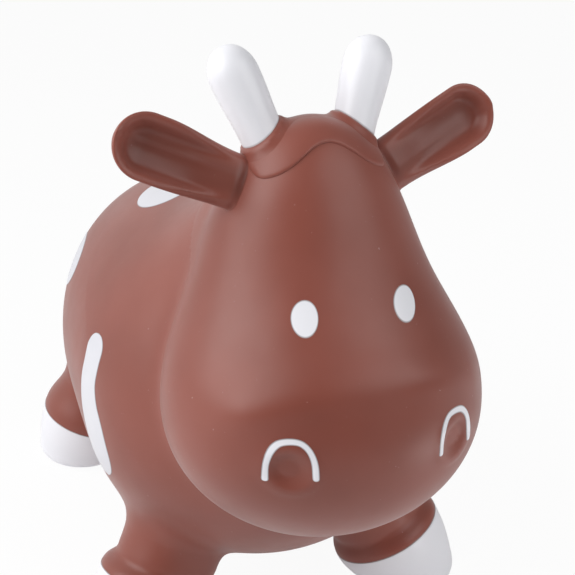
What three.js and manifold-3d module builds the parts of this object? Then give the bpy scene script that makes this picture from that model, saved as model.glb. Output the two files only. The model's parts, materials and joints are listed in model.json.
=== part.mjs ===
// Inflatable cow hopper: a hollow moulded skin on four splayed feet, with horns, and ears to hold on to.
// Millimetres, +Z up. The cow faces -Y and +X is its left. The origin is on the floor under its middle.
// While pieces are made, Y is counted from the middle of the torso. The last lines centre the whole.

import * as THREE from 'three';
import { triTable } from 'three/addons/objects/MarchingCubes.js';
import { mergeVertices } from 'three/addons/utils/BufferGeometryUtils.js';
import Module from 'manifold-3d';

const wasm = await Module();
wasm.setup();

// Driving dimensions

const WALL = 2.6; // thickness of the moulded skin
const CLEARANCE = 0.3; // between neighbouring pieces
const PAINT = 0.8; // thickness of a painted mark

const TORSO_WIDTH = 284;
const TORSO_LENGTH = 424;
const TORSO_HEIGHT = 288;
const BELLY_CLEARANCE = 46; // floor to belly

const CHEST_WIDTH = 265;
const CHEST_LENGTH = 221;
const CHEST_HEIGHT = 215;
const CHEST_CLEARANCE = 54; // floor to the underside of the chest
const CHEST_FORWARD = 79; // ahead of the torso's middle

const NECK_BASE_RADIUS = 105;
const NECK_BASE_FORWARD = 57;
const NECK_BASE_LIFT = 226;
const NECK_TOP_RADIUS = 69;
const NECK_TOP_FORWARD = 122;
const NECK_TOP_LIFT = 328;

const CROWN_WIDTH = 140;
const CROWN_DEPTH = 118;
const CROWN_HEIGHT = 212;
const CROWN_FORWARD = 166;
const CROWN_LIFT = 337;

const MUZZLE_WIDTH = 230;
const MUZZLE_DEPTH = 209;
const MUZZLE_HEIGHT = 186;
const MUZZLE_FORWARD = 203;
const MUZZLE_LIFT = 242;

const CHEST_BLEND = 63; // how softly each member runs into the next
const NECK_BLEND = 73;
const FACE_BLEND = 126;
const HEAD_BLEND = 24;
const LEG_BLEND = 36;

const FRONT_FOOT = { spread: 244, along: -123, splay: 23.5, lean: -12 }; // mm, mm, degrees, degrees
const REAR_FOOT = { spread: 207, along: 165, splay: 13, lean: 7 };
const CUFF_HEIGHT = 48; // along the leg, sole to the lip over the hoof
const CUFF_RADIUS = 48;
const CUFF_FLARE = 15; // length of leg over which the lip runs out
const WAIST_RADIUS = 39;
const WAIST_HEIGHT = 86;
const LEG_TAPER = 0.09; // growth of the leg's radius above its waist
const HOOF_RADIUS = 46.3;
const HOOF_EDGE = 15; // rounding of the hoof's lower edge

const HORN_SPACING = 67;
const HORN_SETBACK = 6; // behind the crown's middle
const HORN_LENGTH = 66;
const HORN_BASE_RADIUS = 15.5;
const HORN_TIP_RADIUS = 17.5;
const HORN_SPLAY = 20; // degrees outwards
const HORN_RAKE = 20; // degrees backwards
const COLLAR_RADIUS = 19.5;
const COLLAR_RISE = 3; // how far the brown lip round the horn stands off the head

const EAR_LIFT = 66; // height of the ear's root above the crown's middle
const EAR_SETBACK = -5;
const EAR_LENGTH = 91;
const EAR_WIDTH = 46;
const EAR_THICKNESS = 15;
const EAR_CUP = 12; // how far the rims stand forward of the scoop
const EAR_TROUGH = 6; // depth of the hollow between the rims
const EAR_NECK_WIDTH = 33;
const EAR_NECK_THICKNESS = 23;
const EAR_ROOT_RADIUS = 18; // the round root that the ear bends about
const EAR_RISE = 23; // degrees above level
const EAR_SWEEP = 12; // degrees backwards
const EAR_TURN = 22; // degrees that the scoop looks upwards

const EYE_SPACING = 72;
const EYE_LIFT = 93; // above the muzzle's middle
const EYE_RIGHT = { length: 21.6, width: 15, tilt: 53 }; // as seen from the front, sprayed a little askew
const EYE_LEFT = { length: 20, width: 18.3, tilt: 35 };
const NOSTRIL_SPACING = 120;
const NOSTRIL_LIFT = 1; // above the muzzle's middle
const NOSTRIL_WIDTH = 29.5;
const NOSTRIL_HEIGHT = 27;
const NOSTRIL_LINE = 4;
const FORELOCK_WIDTH = 94;
const FORELOCK_LOBE = 41; // reach of the two lobes down the forehead from the crown
const FORELOCK_NOTCH = 26; // reach of the notch between them
const FORELOCK_BACK = 7; // reach over the crown
const FORELOCK_RISE = 1.6;

const FLANK_STRIPE = { top: 22, foot: 38 }; // widths of the stripe down the right flank
const LEFT_STRIPE_WIDTH = 20;
const RUMP_PATCH_RIGHT = { width: 78, height: 42 };
const RUMP_PATCH_LEFT = { width: 74, height: 46 };
const SHOULDER_PATCH = { width: 38, height: 66 };
const BACK_PATCH = { width: 50, length: 62 };

const TAIL_LIFT = 70; // above the torso's middle
const TAIL_LENGTH = 118;
const TAIL_WIDTH = 15;
const TAIL_TUFT_WIDTH = 25;
const TAIL_RISE = 6;

const VALVE_BACK = 62; // behind the torso's middle, on the belly
const VALVE_BOSS_RADIUS = 15;
const VALVE_BOSS_RISE = 2;
const VALVE_BOSS_DEPTH = 11;
const PLUG_HEAD_RADIUS = 9;
const PLUG_HEAD_THICKNESS = 3;
const PLUG_STEM_RADIUS = 4.2;
const PLUG_TIP_RADIUS = 3.2;
const PLUG_STEM_LENGTH = 19;

const SKIN_CELL = 29; // size of the facets on the torso, and on smaller members
const HEAD_CELL = 22;
const CUFF_CELL = 10;

const BROWN = 0x7d4a40;
const WHITE = 0xeeeef2;

const radians = THREE.MathUtils.degToRad;
const vector = (x, y, z) => new THREE.Vector3(x, y, z);

// The form of the skin, as distances from its members

function smoothMin(a, b, k) {
  const h = Math.max(k - Math.abs(a - b), 0) / k;
  return Math.min(a, b) - (h * h * h * k) / 6;
}

function ellipsoid(centre, radii) {
  return (p) => {
    const x = (p.x - centre.x) / radii.x;
    const y = (p.y - centre.y) / radii.y;
    const z = (p.z - centre.z) / radii.z;
    const k0 = Math.hypot(x, y, z) + 1e-9;
    const k1 = Math.hypot(x / radii.x, y / radii.y, z / radii.z) + 1e-9;
    return (k0 * (k0 - 1)) / k1;
  };
}

function taperedRod(a, b, radiusA, radiusB) {
  const along = b.clone().sub(a);
  const v = vector(0, 0, 0);
  return (p) => {
    const t = THREE.MathUtils.clamp(v.subVectors(p, a).dot(along) / along.lengthSq(), 0, 1);
    return v.addScaledVector(along, -t).length() - THREE.MathUtils.lerp(radiusA, radiusB, t);
  };
}

const half = (x, y, z) => vector(x / 2, y / 2, z / 2);
const torsoCentre = vector(0, 0, BELLY_CLEARANCE + TORSO_HEIGHT / 2);
const torsoRadii = half(TORSO_WIDTH, TORSO_LENGTH, TORSO_HEIGHT);
const chestCentre = vector(0, -CHEST_FORWARD, CHEST_CLEARANCE + CHEST_HEIGHT / 2);
const chestRadii = half(CHEST_WIDTH, CHEST_LENGTH, CHEST_HEIGHT);
const neckBase = vector(0, -NECK_BASE_FORWARD, NECK_BASE_LIFT);
const neckTop = vector(0, -NECK_TOP_FORWARD, NECK_TOP_LIFT);
const crownCentre = vector(0, -CROWN_FORWARD, CROWN_LIFT);
const crownRadii = half(CROWN_WIDTH, CROWN_DEPTH, CROWN_HEIGHT);
const muzzleCentre = vector(0, -MUZZLE_FORWARD, MUZZLE_LIFT);
const muzzleRadii = half(MUZZLE_WIDTH, MUZZLE_DEPTH, MUZZLE_HEIGHT);

const torso = ellipsoid(torsoCentre, torsoRadii);
const chest = ellipsoid(chestCentre, chestRadii);
const neck = taperedRod(neckBase, neckTop, NECK_BASE_RADIUS, NECK_TOP_RADIUS);
const crown = ellipsoid(crownCentre, crownRadii);
const muzzle = ellipsoid(muzzleCentre, muzzleRadii);

// A leg's radius at a distance from the sole: a lip over the hoof, a waist, then a taper into the body
function legRadius(h) {
  const lip = Math.exp(-((Math.max(h - CUFF_HEIGHT, 0) / CUFF_FLARE) ** 2));
  return WAIST_RADIUS + (CUFF_RADIUS - WAIST_RADIUS) * lip + LEG_TAPER * Math.max(h - WAIST_HEIGHT, 0);
}

// The place of a foot's sole and the direction of its leg, on one side (-1 right, +1 left)
function footPlace(foot, side) {
  const x = -side * Math.sin(radians(foot.splay));
  const y = -Math.sin(radians(foot.lean));
  return {
    sole: vector((side * foot.spread) / 2, foot.along, 0),
    up: vector(x, y, Math.sqrt(1 - x * x - y * y)),
  };
}

const LEG_REACH = 3.5 * CUFF_HEIGHT; // how far the leg runs up inside the body
const LEG_STUB = 0.6 * CUFF_HEIGHT; // how far it runs below the cuff before it is cut there

function leg({ sole, up }) {
  const v = vector(0, 0, 0);
  return (p) => {
    const h = v.subVectors(p, sole).dot(up);
    const away = Math.sqrt(Math.max(v.lengthSq() - h * h, 0)) - legRadius(h);
    return Math.max(away, CUFF_HEIGHT - LEG_STUB - h, h - LEG_REACH);
  };
}

const feet = [];
for (const [end, foot] of [['front', FRONT_FOOT], ['rear', REAR_FOOT]]) {
  for (const [hand, side] of [['right', -1], ['left', 1]]) {
    feet.push({ name: `${end}_${hand}`, side, ...footPlace(foot, side) });
  }
}
const legs = feet.map(leg);

function trunk(p) {
  return smoothMin(smoothMin(torso(p), chest(p), CHEST_BLEND), neck(p), NECK_BLEND);
}

function face(p) {
  return smoothMin(crown(p), muzzle(p), FACE_BLEND);
}

function skin(p) {
  let d = trunk(p);
  for (const member of legs) d = smoothMin(d, member(p), LEG_BLEND);
  return smoothMin(d, face(p), HEAD_BLEND);
}

function gradient(field, p, step = 0.5) {
  const at = (x, y, z) => field(vector(p.x + x, p.y + y, p.z + z));
  return vector(
    at(step, 0, 0) - at(-step, 0, 0),
    at(0, step, 0) - at(0, -step, 0),
    at(0, 0, step) - at(0, 0, -step),
  ).divideScalar(2 * step);
}

const normalAt = (p) => gradient(skin, p).normalize();

const CAST_STEPS = 400; // at most, along a ray
const CAST_STRIDE = 0.6; // share of the distance that each step takes
const CAST_TOLERANCE = 0.005;

// The first point of the skin on a ray
function surfacePoint(from, direction) {
  const p = from.clone();
  for (let n = 0; n < CAST_STEPS; n += 1) {
    const d = skin(p);
    if (Math.abs(d) < CAST_TOLERANCE) break;
    p.addScaledVector(direction, d * CAST_STRIDE);
  }
  return p;
}

// Solids from closed triangle meshes

function geometryFrom(points, triangles) {
  const geometry = new THREE.BufferGeometry();
  geometry.setAttribute('position', new THREE.Float32BufferAttribute(points, 3));
  geometry.setIndex(triangles);
  return geometry;
}

function solidFrom(geometry) {
  const bare = geometry.clone();
  bare.deleteAttribute('normal');
  bare.deleteAttribute('uv');
  const merged = mergeVertices(bare, 1e-4);
  const vertProperties = new Float32Array(merged.attributes.position.array);
  const triVerts = new Uint32Array(merged.index.array);
  return new wasm.Manifold(new wasm.Mesh({ numProp: 3, vertProperties, triVerts }));
}

function geometryOf(solid) {
  const mesh = solid.getMesh();
  return geometryFrom(Array.from(mesh.vertProperties), Array.from(mesh.triVerts));
}

// The same mesh with its faces turned to the outside
function facingOut(geometry) {
  const { position } = geometry.attributes;
  const corners = Array.from(geometry.index.array);
  const at = (n) => vector(0, 0, 0).fromBufferAttribute(position, corners[n]);
  let volume = 0;
  for (let n = 0; n < corners.length; n += 3) {
    volume += at(n).dot(at(n + 1).cross(at(n + 2)));
  }
  if (volume < 0) geometry.setIndex(corners.reverse());
  return geometry;
}

// Grid lines from low to high, each a local cell apart
function gridLines(low, high, cellAt) {
  const lines = [low];
  while (lines.at(-1) < high) lines.push(lines.at(-1) + cellAt(lines.at(-1)));
  return lines;
}

const CORNER_MARGIN = 0.15; // keeps facets from shrinking to nothing beside a grid point
const CORNER_PULLS = 4; // steps that draw a corner onto the surface

// The surface where a field is zero, by marching cubes over a grid of lines
function surfaceOf(field, xs, ys, zs) {
  const square = [[0, 0], [1, 0], [1, 1], [0, 1]];
  const corners = [0, 1].flatMap((z) => square.map(([x, y]) => [x, y, z]));
  const turn = [0, 1, 2, 3];
  const bottomEdges = turn.map((n) => [n, (n + 1) % 4]);
  const topEdges = turn.map((n) => [4 + n, 4 + ((n + 1) % 4)]);
  const edges = [...bottomEdges, ...topEdges, ...turn.map((n) => [n, n + 4])];
  const indexOf = (i, j, k) => i + xs.length * (j + ys.length * k);
  const node = (i, j, k) => vector(xs[i], ys[j], zs[k]);
  const values = new Float64Array(xs.length * ys.length * zs.length);
  zs.forEach((z, k) => ys.forEach((y, j) => xs.forEach((x, i) => {
    values[indexOf(i, j, k)] = field(vector(x, y, z));
  })));

  const points = [];
  const triangles = [];
  const found = new Map();
  const crossing = (a, b) => {
    const [first, last] = [indexOf(...a), indexOf(...b)].sort((m, n) => m - n);
    const key = `${first},${last}`;
    if (!found.has(key)) {
      const [va, vb] = [values[indexOf(...a)], values[indexOf(...b)]];
      const t = THREE.MathUtils.clamp(va / (va - vb), CORNER_MARGIN, 1 - CORNER_MARGIN);
      const p = node(...a).lerp(node(...b), t);
      for (let n = 0; n < CORNER_PULLS; n += 1) {
        const g = gradient(field, p);
        p.addScaledVector(g, -field(p) / Math.max(g.lengthSq(), 0.2));
      }
      found.set(key, points.length / 3);
      points.push(p.x, p.y, p.z);
    }
    return found.get(key);
  };

  for (let k = 0; k + 1 < zs.length; k += 1) {
    for (let j = 0; j + 1 < ys.length; j += 1) {
      for (let i = 0; i + 1 < xs.length; i += 1) {
        const at = corners.map(([x, y, z]) => [i + x, j + y, k + z]);
        let kind = 0;
        at.forEach((c, n) => {
          if (values[indexOf(...c)] > 0) kind |= 1 << n;
        });
        for (let n = 16 * kind; triTable[n] >= 0; n += 3) {
          const face = [triTable[n], triTable[n + 1], triTable[n + 2]];
          triangles.push(...face.map((e) => crossing(at[edges[e][0]], at[edges[e][1]])));
        }
      }
    }
  }
  return geometryFrom(points, triangles);
}

// A closed skin over rings of points, from a first end point to a last one
function loft(first, rings, last) {
  const count = rings[0].length;
  const points = [first, ...rings.flat(), last].flatMap((p) => [p.x, p.y, p.z]);
  const ringPoint = (r, n) => 1 + r * count + (n % count);
  const end = 1 + rings.length * count;
  const triangles = [];
  for (let n = 0; n < count; n += 1) {
    triangles.push(0, ringPoint(0, n + 1), ringPoint(0, n));
    for (let r = 0; r + 1 < rings.length; r += 1) {
      const [a, b] = [ringPoint(r, n), ringPoint(r, n + 1)];
      const [c, d] = [ringPoint(r + 1, n), ringPoint(r + 1, n + 1)];
      triangles.push(a, b, d, a, d, c);
    }
    triangles.push(end, ringPoint(rings.length - 1, n), ringPoint(rings.length - 1, n + 1));
  }
  return facingOut(geometryFrom(points, triangles));
}

// Turns a shape's own +Z to a direction and moves it to a place
function aim(geometry, place, direction) {
  const turn = new THREE.Quaternion().setFromUnitVectors(vector(0, 0, 1), direction);
  return geometry.clone().applyQuaternion(turn).translate(place.x, place.y, place.z);
}

function lathe(profile, sides = 20) {
  const points = profile.map(([r, z]) => new THREE.Vector2(r, z));
  return new THREE.LatheGeometry(points, sides).rotateX(Math.PI / 2);
}

// The brown skin: the outer form, less the air chamber, cut off square at the cuffs

const footReach = Math.max(FRONT_FOOT.spread, REAR_FOOT.spread) / 2 + CUFF_RADIUS;
const rumpReach = Math.max(TORSO_LENGTH / 2, REAR_FOOT.along + CUFF_RADIUS);
const crownTop = vector(0, crownCentre.y, CROWN_LIFT + CROWN_HEIGHT / 2);
const bounds = new THREE.Box3(
  vector(-footReach, -MUZZLE_FORWARD - MUZZLE_DEPTH / 2, 0),
  vector(footReach, rumpReach, crownTop.z),
);

function gridOver(box, cells) {
  const [x, y, z] = cells;
  return [
    gridLines(box.min.x, box.max.x, x),
    gridLines(box.min.y, box.max.y, y),
    gridLines(box.min.z, box.max.z, z),
  ];
}

// Closer lines at the head and at the cuffs, where the form turns more tightly
function skinGrid() {
  const headStart = -NECK_BASE_FORWARD;
  const crownStart = CROWN_LIFT + CROWN_HEIGHT / 4;
  const across = () => SKIN_CELL;
  const along = (y) => (y < headStart ? HEAD_CELL : SKIN_CELL);
  const up = (z) => {
    if (z > CUFF_HEIGHT / 2 && z < WAIST_HEIGHT) return CUFF_CELL;
    return z > crownStart ? HEAD_CELL : SKIN_CELL;
  };
  return gridOver(bounds.clone().expandByScalar(1.6 * SKIN_CELL), [across, along, up]);
}

// The same surface, moved into the material
function inset(geometry, depth) {
  const inner = geometry.clone();
  const position = inner.attributes.position;
  const p = vector(0, 0, 0);
  for (let n = 0; n < position.count; n += 1) {
    p.fromBufferAttribute(position, n);
    p.addScaledVector(normalAt(p), -depth);
    position.setXYZ(n, p.x, p.y, p.z);
  }
  return inner;
}

// A disc square to the leg that takes off everything below the cuff
function cuffCut({ sole, up }) {
  const radius = 1.4 * CUFF_RADIUS;
  const low = CUFF_HEIGHT - 2 * LEG_STUB;
  return aim(lathe([[0, low], [radius, low], [radius, CUFF_HEIGHT], [0, CUFF_HEIGHT]]), sole, up);
}

// Where the horns, the ears and the valve sit on the skin

function hornPlace(side) {
  const x = side * Math.sin(radians(HORN_SPLAY));
  const y = Math.sin(radians(HORN_RAKE));
  const axis = vector(x, y, Math.sqrt(1 - x * x - y * y));
  const above = vector((side * HORN_SPACING) / 2, crownCentre.y + HORN_SETBACK, 2 * CROWN_LIFT);
  return { axis, base: surfacePoint(above, vector(0, 0, -1)) };
}

function earPlace(side) {
  const rise = radians(EAR_RISE);
  const sweep = radians(EAR_SWEEP);
  const level = vector(side * Math.cos(sweep), Math.sin(sweep), 0);
  const length = level.multiplyScalar(Math.cos(rise)).add(vector(0, 0, Math.sin(rise)));
  const looks = vector(0, -Math.cos(radians(EAR_TURN)), Math.sin(radians(EAR_TURN)));
  const front = looks.addScaledVector(length, -looks.dot(length)).normalize();
  const beside = vector(side * TORSO_WIDTH, crownCentre.y + EAR_SETBACK, CROWN_LIFT + EAR_LIFT);
  const root = surfacePoint(beside, vector(-side, 0, 0));
  root.addScaledVector(normalAt(root), -WALL / 2);
  return { root, basis: new THREE.Matrix4().makeBasis(front.clone().cross(length), front, length) };
}

const sides = [['right', -1], ['left', 1]];
const horns = sides.map(([hand, side]) => ({ hand, ...hornPlace(side) }));
const ears = sides.map(([hand, side]) => ({ hand, ...earPlace(side) }));
const valveSeat = surfacePoint(vector(0, VALVE_BACK, 0), vector(0, 0, 1));
const valveFace = valveSeat.z - VALVE_BOSS_RISE;

const BALL_SIDES = 16;
const BALL_RINGS = 9;

function ball(centre, radius) {
  return new THREE.SphereGeometry(radius, BALL_SIDES, BALL_RINGS).translate(centre.x, centre.y, centre.z);
}

// A ball whose flat facets, too, stay outside the radius
function socket(centre, radius) {
  const flat = Math.cos(Math.PI / BALL_SIDES) * Math.cos(Math.PI / (2 * BALL_RINGS));
  return ball(centre, radius / flat);
}

// All that lies within a height of the skin round the crown, for fitting the horns to its curve
function crownCap(height) {
  const reach = HORN_SPACING / 2 + 2 * COLLAR_RADIUS;
  const field = (p) => Math.max(skin(p) - height, p.distanceTo(crownTop) - reach);
  const span = 2 * reach + HEAD_CELL;
  const box = new THREE.Box3().setFromCenterAndSize(crownTop, vector(span, span, span));
  const cell = () => HEAD_CELL / 2;
  return solidFrom(surfaceOf(field, ...gridOver(box, [cell, cell, cell])));
}

// A low lip round the horn's base, which follows the head
function hornCollar({ base, axis }) {
  const [low, high] = [-COLLAR_RADIUS, COLLAR_RADIUS];
  const rod = lathe([[0, low], [COLLAR_RADIUS, low], [COLLAR_RADIUS, high], [0, high]], 24);
  return solidFrom(aim(rod, base, axis)).intersect(crownCap(COLLAR_RISE));
}

function valveBoss() {
  const top = valveFace + VALVE_BOSS_DEPTH;
  const edge = VALVE_BOSS_RISE;
  const profile = [
    [0, valveFace],
    [VALVE_BOSS_RADIUS - edge, valveFace],
    [VALVE_BOSS_RADIUS, valveFace + edge],
    [VALVE_BOSS_RADIUS, top],
    [0, top],
  ];
  return lathe(profile).translate(0, VALVE_BACK, 0);
}

function valveBore() {
  const radius = PLUG_STEM_RADIUS + CLEARANCE;
  const [low, high] = [valveFace - VALVE_BOSS_DEPTH, valveFace + 3 * VALVE_BOSS_DEPTH];
  return lathe([[0, low], [radius, low], [radius, high], [0, high]]).translate(0, VALVE_BACK, 0);
}

const outside = surfaceOf(skin, ...skinGrid());

function bodySkin() {
  let solid = solidFrom(outside);
  for (const horn of horns) solid = solid.add(hornCollar(horn));
  solid = solid.subtract(solidFrom(inset(outside, WALL)));
  for (const foot of feet) solid = solid.subtract(solidFrom(cuffCut(foot)));
  for (const { root } of ears) {
    solid = solid.subtract(solidFrom(socket(root, EAR_ROOT_RADIUS + CLEARANCE)));
  }
  solid = solid.add(solidFrom(valveBoss())).subtract(solidFrom(valveBore()));
  return geometryOf(solid);
}

// White hooves: cups whose rings turn from the flat sole to the cuff's tilted plane

function hoof({ sole, up }) {
  const ring = (radius, h) => {
    const normal = vector(0, 0, 1).lerp(up, h / CUFF_HEIGHT).normalize();
    const turn = new THREE.Quaternion().setFromUnitVectors(vector(0, 0, 1), normal);
    const points = new THREE.EllipseCurve(0, 0, radius, radius).getPoints(22).slice(0, -1);
    return points.map((p) => vector(p.x, p.y, 0).applyQuaternion(turn).addScaledVector(up, h).add(sole));
  };
  const wall = (depth, turns) => {
    const edge = HOOF_EDGE - depth;
    const rings = turns.map((turn) => {
      const angle = (turn * Math.PI) / 2;
      const radius = HOOF_RADIUS - depth - edge * (1 - Math.sin(angle));
      return ring(radius, depth + edge * (1 - Math.cos(angle)));
    });
    return [...rings, ring(HOOF_RADIUS - depth, CUFF_HEIGHT - CLEARANCE)];
  };
  const outside = wall(0, [0, 0.33, 0.67, 1]);
  const inside = wall(WALL, [0, 1]).reverse();
  return loft(sole, [...outside, ...inside], sole.clone().addScaledVector(up, WALL));
}

// White horns: hollow thumbs, thicker at the tip than at the collar, with a foot that follows the head

function horn({ base, axis }) {
  const centre = HORN_LENGTH - HORN_TIP_RADIUS;
  const outline = (inset) => {
    const tip = HORN_TIP_RADIUS - inset;
    const points = [[HORN_BASE_RADIUS - inset, -COLLAR_RADIUS], [HORN_BASE_RADIUS - inset, COLLAR_RISE]];
    points.push([(HORN_BASE_RADIUS + HORN_TIP_RADIUS) / 2 - inset, (COLLAR_RISE + centre) / 2]);
    for (const turn of [0, 0.25, 0.5, 0.75]) {
      const angle = (turn * Math.PI) / 2;
      points.push([tip * Math.cos(angle), centre + tip * Math.sin(angle)]);
    }
    return [...points, [0, centre + tip]];
  };
  const thumb = lathe([...outline(WALL).reverse(), ...outline(0)], 16);
  return geometryOf(solidFrom(aim(thumb, base, axis)).subtract(crownCap(COLLAR_RISE + CLEARANCE)));
}

// Brown ears: a dished paddle on a round root, made along +Z and then turned to its place

function ear({ root, basis }) {
  const wide = EAR_WIDTH / 2;
  const tipCentre = EAR_LENGTH - wide;
  const section = (z) => {
    const swell = THREE.MathUtils.smoothstep(z, 0.12 * EAR_LENGTH, 0.68 * EAR_LENGTH);
    const past = Math.max(z - tipCentre, 0) / wide;
    const round = Math.sqrt(Math.max(1 - past * past, 0));
    const width = THREE.MathUtils.lerp(EAR_NECK_WIDTH / 2, wide, swell) * round;
    const depth = (THREE.MathUtils.lerp(EAR_NECK_THICKNESS, EAR_THICKNESS, swell) / 2) * Math.sqrt(round);
    const points = new THREE.EllipseCurve(0, 0, width, depth).getPoints(20).slice(0, -1);
    const dish = (x) => EAR_CUP * swell * ((x / wide) ** 2 + past * past);
    const trough = ({ x, y }) => {
      const inset = 1 - Math.hypot((x / width) * round, past);
      const onFront = THREE.MathUtils.smoothstep(y / depth, 0, 0.45);
      return EAR_TROUGH * swell * onFront * THREE.MathUtils.smoothstep(inset, 0.16, 0.5);
    };
    return points.map((p) => vector(p.x, p.y + dish(p.x) - trough(p), z));
  };
  const heights = [0, 0.12, 0.25, 0.37, 0.48, 0.58, 0.66, 0.74].map((t) => t * EAR_LENGTH);
  for (const turn of [0.15, 0.35, 0.55, 0.75, 0.9]) {
    const z = tipCentre + wide * Math.sin((turn * Math.PI) / 2);
    if (z > heights.at(-1)) heights.push(z);
  }
  const paddle = loft(vector(0, 0, 0), heights.map(section), vector(0, EAR_CUP, EAR_LENGTH));
  const solid = solidFrom(paddle).add(solidFrom(ball(vector(0, 0, 0), EAR_ROOT_RADIUS)));
  return geometryOf(solid).applyMatrix4(basis).translate(root.x, root.y, root.z);
}

// Pads and strokes that lie on the skin: drawn in a plane, cast onto it from outside, and cut to seat on it

const FAR = 2 * TORSO_LENGTH;
const fromFront = ([x, z]) => surfacePoint(vector(x, -FAR, z), vector(0, 1, 0));
const fromBehind = ([x, z]) => surfacePoint(vector(x, FAR, z), vector(0, -1, 0));
const fromAbove = ([x, y]) => surfacePoint(vector(x, y, FAR), vector(0, 0, -1));
const fromSide = (side) => ([y, z]) => surfacePoint(vector(side * FAR, y, z), vector(-side, 0, 0));

// Onto the forehead and the crown together, from in front and above
function fromBrow([x, up]) {
  const slope = vector(0, 1, -1).normalize();
  const upward = vector(0, 1, 1).normalize();
  const start = vector(x, crownTop.y, crownTop.z).addScaledVector(upward, up);
  return surfacePoint(start.addScaledVector(slope, -FAR), slope);
}

const lifted = (p, height) => p.clone().addScaledVector(normalAt(p), height);

const seat = solidFrom(inset(outside, -CLEARANCE));
const seated = (geometry) => solidFrom(geometry).subtract(seat);

const PAD_CELL = 14; // size of a pad's facets

// A pad with a closed outline about its middle, which stands off the skin by its rise
function pad(cast, [a, b], outline, rise) {
  const reach = Math.max(...outline.map(([x, y]) => Math.hypot(x, y)));
  const count = Math.max(2, Math.round(reach / PAD_CELL));
  const shares = Array.from({ length: count }, (_, n) => (n + 1) / count);
  const point = (x, y, height) => lifted(cast([a + x, b + y]), height);
  const ring = (share, height) => outline.map(([x, y]) => point(x * share, y * share, height));
  const below = shares.map((share) => ring(share, -rise));
  const above = shares.map((share) => ring(share, CLEARANCE + rise)).reverse();
  return seated(loft(point(0, 0, -rise), [...below, ...above], point(0, 0, CLEARANCE + rise)));
}

const STROKE_STEPS = 12; // at least, along a stroke
const STROKE_CELL = 9;

// A stroke of a given half width along an open path, with round ends
function stroke(cast, path, halfWidth, rise, crowned = false) {
  const curve = new THREE.CatmullRomCurve3(path.map(([a, b]) => vector(a, b, 0)));
  const steps = Math.max(STROKE_STEPS, Math.round(curve.getLength() / STROKE_CELL));
  const across = [-1, -0.5, 0, 0.5, 1];
  const rings = [];
  for (let n = 0; n <= steps; n += 1) {
    const t = (1 - Math.cos((Math.PI * (n + 0.35)) / (steps + 0.7))) / 2;
    const at = curve.getPointAt(t);
    const along = curve.getTangentAt(t);
    const fromEnd = (Math.min(t, 1 - t) * curve.getLength()) / halfWidth(t);
    const round = fromEnd < 1 ? Math.sqrt(1 - (1 - fromEnd) ** 2) : 1;
    const place = (u, height) => {
      const w = u * round * halfWidth(t);
      return lifted(cast([at.x - along.y * w, at.y + along.x * w]), height);
    };
    const crest = (u) => (crowned ? 0.15 + 0.85 * Math.sqrt(1 - u * u) * round : 1);
    const below = across.map((u) => place(u, -PAINT));
    const above = across.map((u) => place(u, CLEARANCE + rise * crest(u))).reverse();
    rings.push([...above, ...below]);
  }
  const end = (t) => lifted(cast(curve.getPointAt(t).toArray()), CLEARANCE);
  return seated(loft(end(0), rings, end(1)));
}

function ellipse(width, height, tilt = 0) {
  const curve = new THREE.EllipseCurve(0, 0, width / 2, height / 2, 0, 2 * Math.PI, false, radians(tilt));
  return curve.getPoints(18).slice(0, -1).map((p) => p.toArray());
}

function closedCurve(points, count) {
  const curve = new THREE.CatmullRomCurve3(points.map(([a, b]) => vector(a, b, 0)), true);
  return curve.getSpacedPoints(count).slice(0, -1).map((p) => [p.x, p.y]);
}

// Marks of the face

function eye(side) {
  const middle = [(side * EYE_SPACING) / 2, MUZZLE_LIFT + EYE_LIFT];
  const { length, width, tilt } = side < 0 ? EYE_RIGHT : EYE_LEFT;
  return pad(fromFront, middle, ellipse(length, width, tilt), PAINT);
}

function nostril(side) {
  const foot = 0.08; // share of the arch's height that its ends hang below its springing
  const square = (c) => Math.sign(c) * Math.abs(c) ** 0.78; // wider shoulders than an ellipse has
  const arch = [0, 0.125, 0.25, 0.375, 0.5, 0.625, 0.75, 0.875, 1].map((turn) => {
    const x = (NOSTRIL_WIDTH / 2) * square(Math.cos(turn * Math.PI));
    const z = NOSTRIL_HEIGHT * ((1 + foot) * square(Math.sin(turn * Math.PI)) - foot);
    return [(side * NOSTRIL_SPACING) / 2 + x, MUZZLE_LIFT + NOSTRIL_LIFT + z];
  });
  return stroke(fromFront, arch, () => NOSTRIL_LINE / 2, PAINT);
}

function forelock() {
  const wide = FORELOCK_WIDTH / 2;
  const shares = [
    [0.45, 0.02], [0.82, -0.26], [1, -0.5], [1.03, -0.7], [0.96, -0.93],
    [0.79, -1], [0.58, -0.95], [0.38, -0.82], [0.19, -0.69],
  ];
  const rightHalf = shares.map(([x, y]) => [x * wide, y * FORELOCK_LOBE]);
  const leftHalf = rightHalf.map(([x, y]) => [-x, y]).reverse();
  const outline = closedCurve([[0, FORELOCK_BACK], ...rightHalf, [0, -FORELOCK_NOTCH], ...leftHalf], 36);
  let solid = pad(fromBrow, [0, 0], outline, FORELOCK_RISE);
  for (const { base, axis } of horns) {
    const radius = COLLAR_RADIUS + CLEARANCE;
    const rod = lathe([[0, -radius], [radius, -radius], [radius, radius], [0, radius]], 24);
    solid = solid.subtract(solidFrom(aim(rod, base, axis)));
  }
  for (const { root } of ears) {
    solid = solid.subtract(solidFrom(socket(root, EAR_ROOT_RADIUS + FORELOCK_RISE)));
  }
  return solid;
}

// Coat patches, placed by shares of the torso's half length and half height from its middle

const onTorso = ([along, up]) => [along * torsoRadii.y, torsoCentre.z + up * torsoRadii.z];

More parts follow.
